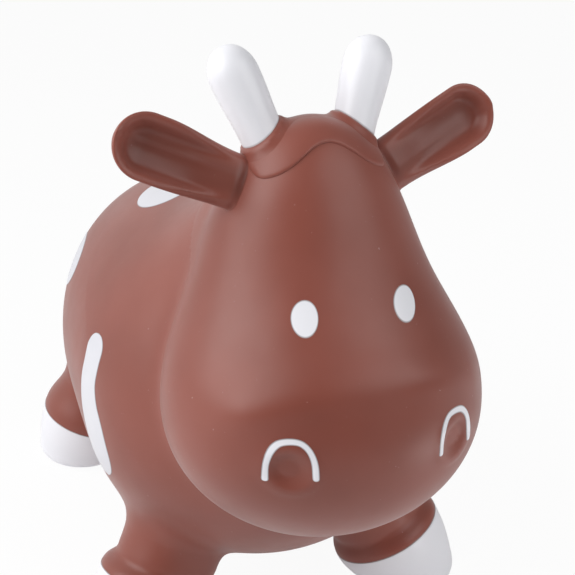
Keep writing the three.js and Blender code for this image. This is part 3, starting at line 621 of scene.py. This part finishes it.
def paint_pad(name, node, project, middle, outline):
    reach = np.linalg.norm(outline, axis=-1).mean()
    shares, rises = np.array(paint_heights(reach)).T[..., None]
    p = project(np.asarray(middle, float) + outline * shares[..., None])
    p = lifted(skin, p, np.broadcast_to(rises, p.shape[:2]))
    points, faces = loft(list(p)[::-1])
    piece = new_mesh(name, points, faces, unit(slope(skin, points)))
    distance = np.repeat((1 - shares[::-1]) * reach, len(outline))
    mark_edge(piece, np.concatenate([distance, [reach, reach]]))
    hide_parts(node)
    return piece


def ellipse(width, height, tilt=0):
    p = circle()[:, :2] * (width / 2, height / 2)
    c, s = math.cos(math.radians(tilt)), math.sin(math.radians(tilt))
    return p @ np.array([[c, s], [-s, c]])


print("a pad has", len(paint_heights(10)), "rings")

# %% Curves
CURVE_STEPS = 40  # fine steps between two points of a path


def smooth_curve(points, count, closed=False):
    """Points at even steps along a Catmull-Rom curve."""
    points = np.asarray(points, float)
    if closed:
        guide = np.vstack([points[-1], points, points[:2]])
    else:
        guide = np.vstack([2 * points[0] - points[1], points, 2 * points[-1] - points[-2]])
    t = np.linspace(0, 1, CURVE_STEPS, endpoint=False)[:, None]
    fine = []
    for a, b, c, d in zip(guide, guide[1:], guide[2:], guide[3:]):
        bend = (2 * a - 5 * b + 4 * c - d) * t ** 2 + (3 * b - a - 3 * c + d) * t ** 3
        fine.append(0.5 * (2 * b + (c - a) * t + bend))
    fine = np.vstack(fine + [points[:1] if closed else points[-1:]])
    run = np.concatenate([[0], np.cumsum(np.linalg.norm(np.diff(fine, axis=0), axis=-1))])
    at = np.linspace(0, run[-1], count + 1)
    even = np.stack([np.interp(at, run, fine[:, k]) for k in range(2)], -1)
    return (even[:-1] if closed else even), run[-1]


print("a curve has", CURVE_STEPS, "fine steps from point to point")

# %% Strokes
STROKE_TOP, STROKE_UNDER = 15, (0.5, 0, -0.5)  # points over the top, and places across the underside
LEAST_WIDTH = 1e-4  # squared, as a share, so that the ends of a stroke stay open


def stroke(name, node, project, path, half_width, rise, crowned=False, steps=110):
    """A ribbon with round ends along a path, flat like paint or crowned like a moulded bead."""
    spine, total = smooth_curve(path, steps)
    tangent = unit(np.gradient(spine, axis=0))
    normal = np.stack([-tangent[:, 1], tangent[:, 0]], -1)
    run = np.linspace(0, total, len(spine))
    half = np.array([half_width(t) for t in run / total])
    to_end = np.minimum(run, total - run)
    half = half * np.sqrt(np.maximum(1 - np.maximum(1 - to_end / half, 0) ** 2, LEAST_WIDTH))
    top = np.sin(np.linspace(-1, 1, STROKE_TOP) * math.pi / 2)
    across = np.concatenate([top, STROKE_UNDER])[:, None]
    inside = np.minimum((1 - np.abs(across)) * half, to_end)
    if crowned:
        crest = np.sqrt(1 - across ** 2) * half / half.max()
    else:
        crest = np.minimum(inside / PAINT_EDGE, 1) ** 0.5
    on_top = np.arange(len(across))[:, None] < STROKE_TOP
    height = np.where(on_top, rise * crest, -SINK)
    p = project(spine + normal * (across * half)[..., None])
    p = lifted(skin, p, height).transpose(1, 0, 2)
    points, faces = loft(list(p)[::-1])
    piece = new_mesh(name, points, faces, None if crowned else unit(slope(skin, points)))
    mark_edge(piece, np.concatenate([inside.T[::-1].ravel(), [0, 0]]))
    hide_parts(node)
    return piece


# %% [markdown]
# ## Eyes and nostrils
#
# On the toy these are white ink, sprayed through a mask. A picture texture could carry them, but its edge
# would blur in a close view, so each is a thin film with a true edge. The eyes are ovals, each with its
# own slant, as in the photograph. A nostril is an arch along half a squared circle, over its dimple.

# %% Eyes and nostril arches
EYE_SPACING, EYE_LIFT = 72, 93
EYES = {"right": ellipse(21.6, 15, 53), "left": ellipse(20, 18.3, 35)}  # as seen from the front
NOSTRIL_LINE, NOSTRIL_SQUARE, NOSTRIL_TILT, NOSTRIL_DROP, NOSTRIL_POINTS = 4.3, 0.78, 6, 0.08, 13
nostril_lean = math.tan(math.radians(NOSTRIL_TILT)) * NOSTRIL_WIDTH / 2
face_marks = []
for hand, side in SIDES.items():
    middle = (side * EYE_SPACING / 2, muzzle_middle[2] + EYE_LIFT)
    face_marks.append(paint_pad(f"painted_eye_{hand}", f"eye_{hand}", from_front, middle, EYES[hand]))
    arch = []
    for turn in np.linspace(0, math.pi, NOSTRIL_POINTS):
        x, z = math.cos(turn), math.sin(turn)
        wide, high = math.copysign(abs(x) ** NOSTRIL_SQUARE, x), abs(z) ** NOSTRIL_SQUARE
        rise = NOSTRIL_HEIGHT * ((1 + NOSTRIL_DROP) * high - NOSTRIL_DROP)
        rise -= side * nostril_lean * wide  # the outer end hangs lower
        arch.append(NOSTRILS[hand] + (NOSTRIL_WIDTH / 2 * wide, rise))
    face_marks.append(stroke(f"painted_nostril_{hand}", f"nostril_{hand}", from_front, arch,
                             lambda t: NOSTRIL_LINE / 2, PAINT))

# %% [markdown]
# ## Coat patches
#
# The patches are the same white, in a darker copy that is painted shade over the brightly lit flanks.
# They could be faces of the skin with a second material, but then their edges would follow the skin's
# squares. Films leave the skin whole. Two patches are strokes and the rest are ovals, placed by shares
# of the torso's half sizes. The photograph shows those on the cow's right and on its back, and the three
# on its left are guessed.

# %% Coat patches
coat_marks = []
STRIPE_TOP, STRIPE_FOOT, STRIPE_LEFT_HALF = 13.5, 22.5, 10  # half widths
STRIPE_WIDENS = (0.15, 0.75)  # shares of the way down


def onto_torso(shares):
    return np.array(shares) * TORSO[1][1:] + (0, TORSO[0][2])


STRIPE_RIGHT = [(-0.28, 0.39), (-0.29, 0.23), (-0.295, 0.1), (-0.32, -0.02), (-0.365, -0.14), (-0.395, -0.26),
                (-0.41, -0.38)]
STRIPE_LEFT = [(0.1, 0.2), (0.16, 0.06), (0.14, -0.1), (0.2, -0.26)]
coat_marks.append(stroke("coat_stripe_right", "patch_flank_right", from_side(-1), onto_torso(STRIPE_RIGHT),
                         lambda t: STRIPE_TOP + (STRIPE_FOOT - STRIPE_TOP) * ramp(*STRIPE_WIDENS, t), PAINT))
coat_marks.append(stroke("coat_stripe_left", "patch_flank_left", from_side(1), onto_torso(STRIPE_LEFT),
                         lambda t: STRIPE_LEFT_HALF, PAINT))
OVALS = {
    "rump_right": (-1, (0.43, 0.38), ellipse(78, 42, -12)),
    "rump_left": (1, (0.5, 0.22), ellipse(74, 46, -30)),
    "shoulder_left": (1, (-0.22, 0.3), ellipse(38, 66, -15)),
}
for place, (side, shares, outline) in OVALS.items():
    middle = onto_torso(shares)
    coat_marks.append(paint_pad(f"coat_patch_{place}", f"patch_{place}", from_side(side), middle, outline))
BACK_PATCH = (-0.34, 0.127)  # shares across and along
back_middle = np.array(BACK_PATCH) * TORSO[1][:2]
coat_marks.append(paint_pad("coat_patch_back", "patch_back", from_above, back_middle, ellipse(50, 62)))

# %% [markdown]
# ## The forelock
#
# Between the horns the mould has a low pad with a wavy lower edge, like a fringe of hair. Raising that
# part of the skin would need a much finer mesh to keep so sharp an edge. As a piece of its own the pad is
# a smooth curve through a few points, mirrored, cast onto the brow and lifted by little more than a
# millimetre. At the back it sinks into the crown, where the real one fades out.

# %% The forelock
FORELOCK_WIDTH, FORELOCK_LOBE, FORELOCK_NOTCH, FORELOCK_BACK, FORELOCK_RISE = 94, 41, 26, 7, 1.6
FORELOCK_FADE, FORELOCK_TUCK = (-14, 4), 0.3  # the pad melts into the crown behind
FORELOCK_POINTS, FORELOCK_RINGS = 160, 12
HALF_FRINGE = [(0.45, 0.02), (0.82, -0.26), (1, -0.5), (1.03, -0.7), (0.96, -0.93), (0.79, -1), (0.58, -0.95),
               (0.38, -0.82), (0.19, -0.69)]  # shares of half the width and of the lobes' depth
one_half = [(x * FORELOCK_WIDTH / 2, y * FORELOCK_LOBE) for x, y in HALF_FRINGE]
other_half = [(-x, y) for x, y in one_half[::-1]]
fringe = [(0, FORELOCK_BACK), *one_half, (0, -FORELOCK_NOTCH), *other_half]
outline = smooth_curve(fringe, FORELOCK_POINTS, True)[0]
profile = [(share, 1) for share in np.linspace(INNERMOST, 0.9, FORELOCK_RINGS)]
profile += [(0.94, 0.98), (0.965, 0.88), (0.985, 0.6), (1, 0.1), (1, -1), (0.5, -1), (INNERMOST, -1)]
shares, rises = np.array(profile).T[..., None]
flat = outline * shares[..., None]
fade = 1 - ramp(*FORELOCK_FADE, flat[..., 1])
height = np.where(rises < 0, -SINK, FORELOCK_RISE * rises * fade - FORELOCK_TUCK * (1 - fade))
p = lifted(plain_skin, from_brow(flat), height)
forelock = new_mesh("wavy_forelock", *loft(list(p)[::-1]))
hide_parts("forelock")

# %% [markdown]
# ## The tail
#
# The photograph hides the tail. Toys of this kind often have it as a low ridge in the moulding, so that
# nothing sticks out behind the rider. A curve with a bevel would be quick, but it would stand off the
# round rump. A crowned stroke follows the rump, thin at the top and wider at the tuft.

# %% The tail
TAIL_LIFT, TAIL_LENGTH, TAIL_WIDTH, TAIL_TUFT_WIDTH, TAIL_RISE = 70, 118, 15, 25, 6
TAIL_WIDENS = (0.6, 0.85)  # shares of the way down


def tail_half_width(t):
    return (TAIL_WIDTH + (TAIL_TUFT_WIDTH - TAIL_WIDTH) * ramp(*TAIL_WIDENS, t)) / 2


tail_path = [(x * TAIL_LENGTH, TORSO[0][2] + TAIL_LIFT - down * TAIL_LENGTH)
             for x, down in ((0, 0), (0.1, 0.3), (-0.08, 0.65), (0.04, 1))]
tail = stroke("moulded_tail", "tail", from_behind, tail_path, tail_half_width, TAIL_RISE, crowned=True)

# %% [markdown]
# ## The air valve
#
# The skin is blown up through a hole in a thick boss under the belly, and a push-in stopper closes it.
# Both are turned shapes, so each is a spun profile of radius and height pairs. The boss is a ring with a
# real bore, so the hole shows when the stopper is out.

# %% Boss and stopper
BOSS_RADIUS, BOSS_RISE, BOSS_DEPTH, BORE_BEVEL = 15, 2, 6, 0.8
PLUG_HEAD_RADIUS, PLUG_HEAD_THICKNESS, PLUG_HEAD_EDGE = 9, 3, 1.2
PLUG_STEM_RADIUS, PLUG_STEM_LENGTH, PLUG_STEM_STRAIGHT, PLUG_STEM_FILLET = 4.2, 19, 11, 0.6
PLUG_TIP_RADIUS, PLUG_TIP_BEVEL = 3.2, 1
CLEARANCE = 0.3
valve_face = cast(plain_skin, [[0, VALVE_BACK, 0]], (0, 0, 1))[0, 2] - BOSS_RISE


def spun(name, profile, hollow=False, count=48):
    rings = [np.array([0, VALVE_BACK, z]) + r * circle(count) for r, z in profile]
    return new_mesh(name, *loft(rings, hollow))


def rounded(low, high, radius, edge, steps=6):
    """Profile of a disc from its lower middle to its upper rim, with a round lower edge."""
    turns = np.linspace(0, math.pi / 2, steps)
    corner = [(radius - edge * (1 - math.sin(a)), low + edge * (1 - math.cos(a))) for a in turns]
    return [(0.3 * radius, low), *corner, (radius, high)]


bore = PLUG_STEM_RADIUS + CLEARANCE
boss_top = valve_face + BOSS_DEPTH
boss_outside = rounded(valve_face, boss_top, BOSS_RADIUS, BOSS_RISE)[1:]
boss_inside = [(bore, boss_top), (bore, valve_face + BORE_BEVEL), (bore + BORE_BEVEL, valve_face)]
boss = spun("valve_boss", [*boss_inside, *boss_outside], hollow=True)
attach(boss, "cow")
plug_top = valve_face - CLEARANCE
plug_tip = plug_top + PLUG_STEM_LENGTH
plug = spun("push_in_stopper", [
    *rounded(plug_top - PLUG_HEAD_THICKNESS, plug_top, PLUG_HEAD_RADIUS, PLUG_HEAD_EDGE),
    (PLUG_STEM_RADIUS + PLUG_STEM_FILLET, plug_top),
    (PLUG_STEM_RADIUS, plug_top + PLUG_STEM_FILLET),
    (PLUG_STEM_RADIUS, plug_top + PLUG_STEM_STRAIGHT),
    (PLUG_TIP_RADIUS, plug_tip - PLUG_TIP_BEVEL),
    (PLUG_TIP_RADIUS - PLUG_TIP_BEVEL, plug_tip),
])
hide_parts("valve_plug")

# %% [markdown]
# ## Which body each piece moves with
#
# Everything but the ears and the stopper belongs to the one moulding, so it rides on the cow's body.

# %% Bodies
moulding = (cow_skin, forelock, tail, *hooves, *horns, *face_marks, *coat_marks)
for piece in moulding:
    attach(piece, "cow")
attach(plug, "stopper")
print(len(moulding) + 1, "pieces ride on the cow, with the boss")

# %% [markdown]
# ## Tools for finishes
#
# Finishes are node materials. Pictures of the real surfaces could colour them, but they need an unwrapped
# mesh and show seams. Noise textures in metres of the object need neither. These helpers add a node, a
# noise, a ramp of tones and a mix in one line each, so that each finish reads as a short list.

# %% Material helpers
def finish_named(name):
    material = bpy.data.materials.new(name)
    material.use_nodes = True
    tree = material.node_tree
    return material, tree, tree.nodes["Principled BSDF"]


def add_node(tree, kind, links=None, **settings):
    node = tree.nodes.new(kind)
    for key, value in settings.items():
        if key in node.inputs:
            node.inputs[key].default_value = value
        else:
            setattr(node, key, value)
    for key, source in (links or {}).items():
        tree.links.new(source, node.inputs[key])
    return node


def noise(tree, scale, detail=3.0, roughness=0.5):
    place = add_node(tree, "ShaderNodeTexCoord")
    return add_node(tree, "ShaderNodeTexNoise", {"Vector": place.outputs["Object"]},
                    Scale=scale, Detail=detail, Roughness=roughness)


def tone_ramp(tree, factor, stops):
    node = add_node(tree, "ShaderNodeValToRGB", {"Fac": factor})
    while len(node.color_ramp.elements) < len(stops):
        node.color_ramp.elements.new(0.5)
    for element, (place, colour) in zip(node.color_ramp.elements, stops):
        element.position = place
        element.color = (*colour, 1)
    return node


def mix_colour(tree, factor, base, colour):
    links = {"Factor": factor, "A": base}
    return add_node(tree, "ShaderNodeMix", links, data_type="RGBA", B=(*colour, 1)).outputs["Result"]


def map_range(tree, value, source, target):
    node = add_node(tree, "ShaderNodeMapRange", {"Value": value})
    node.inputs["From Min"].default_value, node.inputs["From Max"].default_value = source
    node.inputs["To Min"].default_value, node.inputs["To Max"].default_value = target
    return node.outputs["Result"]


def uneven_gloss(tree, shader, spots, source, target):
    roughness = map_range(tree, spots.outputs["Fac"], source, target)
    tree.links.new(roughness, shader.inputs["Roughness"])


def fine_grain(tree, shader, scale, strength, depth):
    """Bumps that are too small to be geometry."""
    height = noise(tree, scale, detail=2).outputs["Fac"]
    bump = add_node(tree, "ShaderNodeBump", {"Height": height}, Strength=strength, Distance=depth)
    tree.links.new(bump.outputs["Normal"], shader.inputs["Normal"])


def dress(pieces, material):
    for piece in pieces:
        piece.data.materials.clear()
        piece.data.materials.append(material)
    print(material.name, "on", len(pieces), "pieces")


# %% [markdown]
# ## Brown PVC
#
# Soft PVC is neither matt nor glossy: it has broad, soft highlights, and a pale bloom where the surface
# turns away, which the sheen gives. The pigment varies a little through the moulding, so a slow noise
# mixes three browns. A few specks of dust cling to it. The scoops of the ears are painted darker, as
# painted shade for the shadow that lies in them. One plain colour would look too even, and pictures of
# real PVC would show their seams.

# %% Brown PVC
BROWN = (0.240, 0.066, 0.046)
BROWN_DARK = (0.210, 0.056, 0.038)
BROWN_PALE = (0.270, 0.080, 0.058)
# Painted shade for the scoops of the ears.
BROWN_PAINTED_SHADE = (0.115, 0.032, 0.022)
DUST = (0.55, 0.42, 0.40)


def brown_pvc():
    material, tree, shader = finish_named("brown_pvc")
    slow = noise(tree, scale=9)
    tone = tone_ramp(tree, slow.outputs["Fac"], [(0.3, BROWN_DARK), (0.5, BROWN), (0.72, BROWN_PALE)])
    specks = noise(tree, scale=420, detail=2, roughness=0.6)
    dust = map_range(tree, specks.outputs["Fac"], source=(0.74, 0.80), target=(0, 0.5))
    # Painted shade: the ears' scoops are mixed halfway towards the darkest brown.
    hollow = add_node(tree, "ShaderNodeAttribute", attribute_name="hollow")
    shade = map_range(tree, hollow.outputs["Fac"], source=(0, 1), target=(0, 0.5))
    dusty = mix_colour(tree, dust, tone.outputs["Color"], DUST)
    tree.links.new(mix_colour(tree, shade, dusty, BROWN_PAINTED_SHADE), shader.inputs["Base Color"])
    spots = noise(tree, scale=26, detail=4, roughness=0.6)
    uneven_gloss(tree, shader, spots, source=(0.3, 0.7), target=(0.36, 0.46))
    fine_grain(tree, shader, scale=1500, strength=0.05, depth=0.0004)
    shader.inputs["Specular IOR Level"].default_value = 0.4
    shader.inputs["Sheen Weight"].default_value = 0.2
    shader.inputs["Sheen Roughness"].default_value = 0.4
    return material


dress([cow_skin, forelock, tail, boss, *ears], brown_pvc())

# %% [markdown]
# ## White paint
#
# The white is sprayed onto the brown and is smoother than it. The coat gets a darker copy, as painted
# shade that tones down the strong light on the flanks. So one recipe makes two paints. A fine dark line
# runs along each edge, where the mask kept the spray thin, and the distance that each film carries draws it.

# %% White paint
WHITE = (0.83, 0.83, 0.87)
WHITE_GREY = (0.78, 0.78, 0.82)
# Darker whites for the coat: painted shade over the strongly lit flanks.
SHADED_COAT_WHITE = (0.65, 0.65, 0.69)
SHADED_COAT_GREY = (0.59, 0.59, 0.63)
EDGE_LINE = (0.10, 0.035, 0.028)


def white_paint(name, grey, white):
    material, tree, shader = finish_named(name)
    slow = noise(tree, scale=14, detail=2)
    tone = tone_ramp(tree, slow.outputs["Fac"], [(0.1, grey), (0.9, white)])
    edge = add_node(tree, "ShaderNodeAttribute", attribute_name="from_edge")
    line = map_range(tree, edge.outputs["Fac"], source=(0.2, 0.9), target=(0.7, 0))
    tree.links.new(mix_colour(tree, line, tone.outputs["Color"], EDGE_LINE), shader.inputs["Base Color"])
    spots = noise(tree, scale=30)
    uneven_gloss(tree, shader, spots, source=(0.05, 0.95), target=(0.24, 0.38))
    fine_grain(tree, shader, scale=1200, strength=0.04, depth=0.0003)
    return material


dress([*hooves, *horns, *face_marks], white_paint("sprayed_white", WHITE_GREY, WHITE))
# The coat's darker white is painted shade.
dress(coat_marks, white_paint("darker_white_painted_shade", SHADED_COAT_GREY, SHADED_COAT_WHITE))

# %% [markdown]
# ## The stopper's white
#
# The stopper is a small moulding of a harder plastic, white all through. It is the same all over, so
# plain numbers on the shader are enough.

# %% White stopper
def plain_white():
    material, _, shader = finish_named("white_stopper")
    shader.inputs["Base Color"].default_value = (*WHITE, 1)
    shader.inputs["Roughness"].default_value = 0.45
    return material


dress([plug], plain_white())

# %% [markdown]
# ## The floor
#
# In the photograph the toy stands on plain white. A cut-out on white would lose the shadow that ties it
# to the ground. So there is a real floor, which takes the shadow but glows almost white for the camera,
# and a little for the cow, so that its belly isn't black.

# %% Floor and backdrop
FLOOR_GLOW, FLOOR_SEEN = 0.2, 0.94  # shares of plain white light, for the cow and for the camera
FLOOR_COLOUR, FLOOR_ROUGHNESS = (0.9, 0.9, 0.91), 0.9


def pale_floor():
    material, tree, shader = finish_named("pale_floor")
    shader.inputs["Base Color"].default_value = (*FLOOR_COLOUR, 1)
    shader.inputs["Roughness"].default_value = FLOOR_ROUGHNESS
    path = add_node(tree, "ShaderNodeLightPath")
    glow = add_node(tree, "ShaderNodeEmission", Strength=1.0)
    glows = map_range(tree, path.outputs["Is Camera Ray"], source=(0, 1), target=(FLOOR_GLOW, FLOOR_SEEN))
    blend = add_node(tree, "ShaderNodeMixShader", {"Fac": glows})
    tree.links.new(shader.outputs["BSDF"], blend.inputs[1])
    tree.links.new(glow.outputs["Emission"], blend.inputs[2])
    tree.links.new(blend.outputs["Shader"], tree.nodes["Material Output"].inputs["Surface"])
    return material


def stage_floor(size=14, drop=0.0005):
    mesh = bpy.data.meshes.new("floor")
    s = size / 2
    mesh.from_pydata([(-s, -s, -drop), (s, -s, -drop), (s, s, -drop), (-s, s, -drop)], [], [(0, 1, 2, 3)])
    floor = bpy.data.objects.new("floor", mesh)
    bpy.context.scene.collection.objects.link(floor)
    mesh.materials.append(pale_floor())
    return floor


floor = stage_floor()
print("floor of", round(floor.dimensions.x), "m")

# %% [markdown]
# ## The room's light
#
# A studio's white walls give most of the light. A plain grey world would light the cow evenly from all
# round. In the photograph its back and sides are bright and its face is dim, so the world's strength
# grows from the front to the back. The camera itself sees white.

# %% Room light
FRONT_LIGHT, BACK_LIGHT = 0.03, 1.0
BACKWARD = (-0.5, 0.85, 0.1)  # away from the camera and to its left
TURNS = (-0.2, 0.9)  # how far towards that side the light starts and stops growing
PLAIN_WHITE = (1, 1, 1, 1)
world = bpy.data.worlds.new("studio")
bpy.context.scene.world = world
world.use_nodes = True
tree = world.node_tree
room = tree.nodes["Background"]
room.inputs["Color"].default_value = PLAIN_WHITE
facing = add_node(tree, "ShaderNodeVectorMath", operation="DOT_PRODUCT")
tree.links.new(add_node(tree, "ShaderNodeTexCoord").outputs["Generated"], facing.inputs[0])
facing.inputs[1].default_value = BACKWARD
strength = map_range(tree, facing.outputs["Value"], source=TURNS, target=(FRONT_LIGHT, BACK_LIGHT))
tree.links.new(strength, room.inputs["Strength"])
seen = add_node(tree, "ShaderNodeBackground", Color=PLAIN_WHITE, Strength=1.0)
path = add_node(tree, "ShaderNodeLightPath")
either = add_node(tree, "ShaderNodeMixShader", {"Fac": path.outputs["Is Camera Ray"]})
tree.links.new(room.outputs["Background"], either.inputs[1])
tree.links.new(seen.outputs["Background"], either.inputs[2])
tree.links.new(either.outputs["Shader"], tree.nodes["World Output"].inputs["Surface"])
print("room light from", FRONT_LIGHT, "in front to", BACK_LIGHT, "behind")

# %% [markdown]
# ## Lamps
#
# Lamps add what the walls don't: a wide one over the cow's right shoulder, a weak one low on its left,
# one in front of its left side for the soft sheen on its brow, and a small one for its left front foot.
# Point lamps would draw hard shadows, so these are area lamps, and all but the small one are as large as
# soft boxes.

# %% Lamps
BODY, FOOT = Vector((0, -0.05, 0.25)), Vector((0.12, -0.08, 0.05))
LAMPS = {  # place, aim, size in metres, watts
    "key": ((-1.3, -0.08, 1.2), BODY, 1.4, 23),
    "fill": ((1.3, -0.2, 0.15), BODY, 1.0, 1.2),
    "top": ((0.7, -0.95, 1.2), BODY, 1.2, 10.5),
    "foot": ((0.42, -0.52, 0.03), FOOT, 0.2, 0.5),
}
for name, (place, aim, size, watts) in LAMPS.items():
    lamp = bpy.data.lights.new(name, "AREA")
    lamp.size, lamp.energy = size, watts
    holder = bpy.data.objects.new(name, lamp)
    holder.location = place
    holder.rotation_euler = (aim - Vector(place)).to_track_quat("-Z", "Y").to_euler()
    bpy.context.scene.collection.objects.link(holder)
print("lamps:", ", ".join(LAMPS))

# %% [markdown]
# ## Camera
#
# The camera looks from above and to the cow's right, less than a metre away, so the head looms and the
# hind legs look small, as in the photograph. Its place could be found by eye. Here it comes from matching
# the outlines and the pairs of eyes, horns and nostrils. The lens is shifted a little, because that match
# puts the middle of the view beside the middle of the picture, as in a cropped photograph.

# %% Camera
IMAGE, SENSOR = 575, 36  # the photograph's width in pixels, the sensor's in millimetres
AZIMUTH, ELEVATION, ROLL = math.radians(-23.1), math.radians(25.7), math.radians(2.0)
TARGET, DISTANCE, FOCAL = np.array([0, -183.2, 315]), 888.3, 1250
CENTRE_X, CENTRE_Y = 316.2, 296.5  # the middle of the view, in pixels of the photograph
back = np.array([math.sin(AZIMUTH) * math.cos(ELEVATION), -math.cos(AZIMUTH) * math.cos(ELEVATION),
                 math.sin(ELEVATION)])
level = np.array([math.cos(AZIMUTH), math.sin(AZIMUTH), 0])
upright = np.cross(back, level)
right = level * math.cos(ROLL) + upright * math.sin(ROLL)
top = -level * math.sin(ROLL) + upright * math.cos(ROLL)
eye_point = (TARGET + ORIGIN + back * DISTANCE) * MM

lens = bpy.data.cameras.new("camera")
lens.sensor_width = SENSOR
lens.lens = SENSOR * FOCAL / IMAGE
lens.shift_x = (IMAGE / 2 - CENTRE_X) / IMAGE
lens.shift_y = (CENTRE_Y - IMAGE / 2) / IMAGE
lens.clip_start = 0.01
camera = bpy.data.objects.new("camera", lens)
turn = Matrix([[*row] for row in np.stack([right, top, back], 1)]).to_4x4()
camera.matrix_world = Matrix.Translation(Vector(eye_point)) @ turn
bpy.context.scene.collection.objects.link(camera)
bpy.context.scene.camera = camera
bpy.context.scene.view_settings.view_transform = "Standard"
print("camera at", [round(v, 3) for v in eye_point], "m")
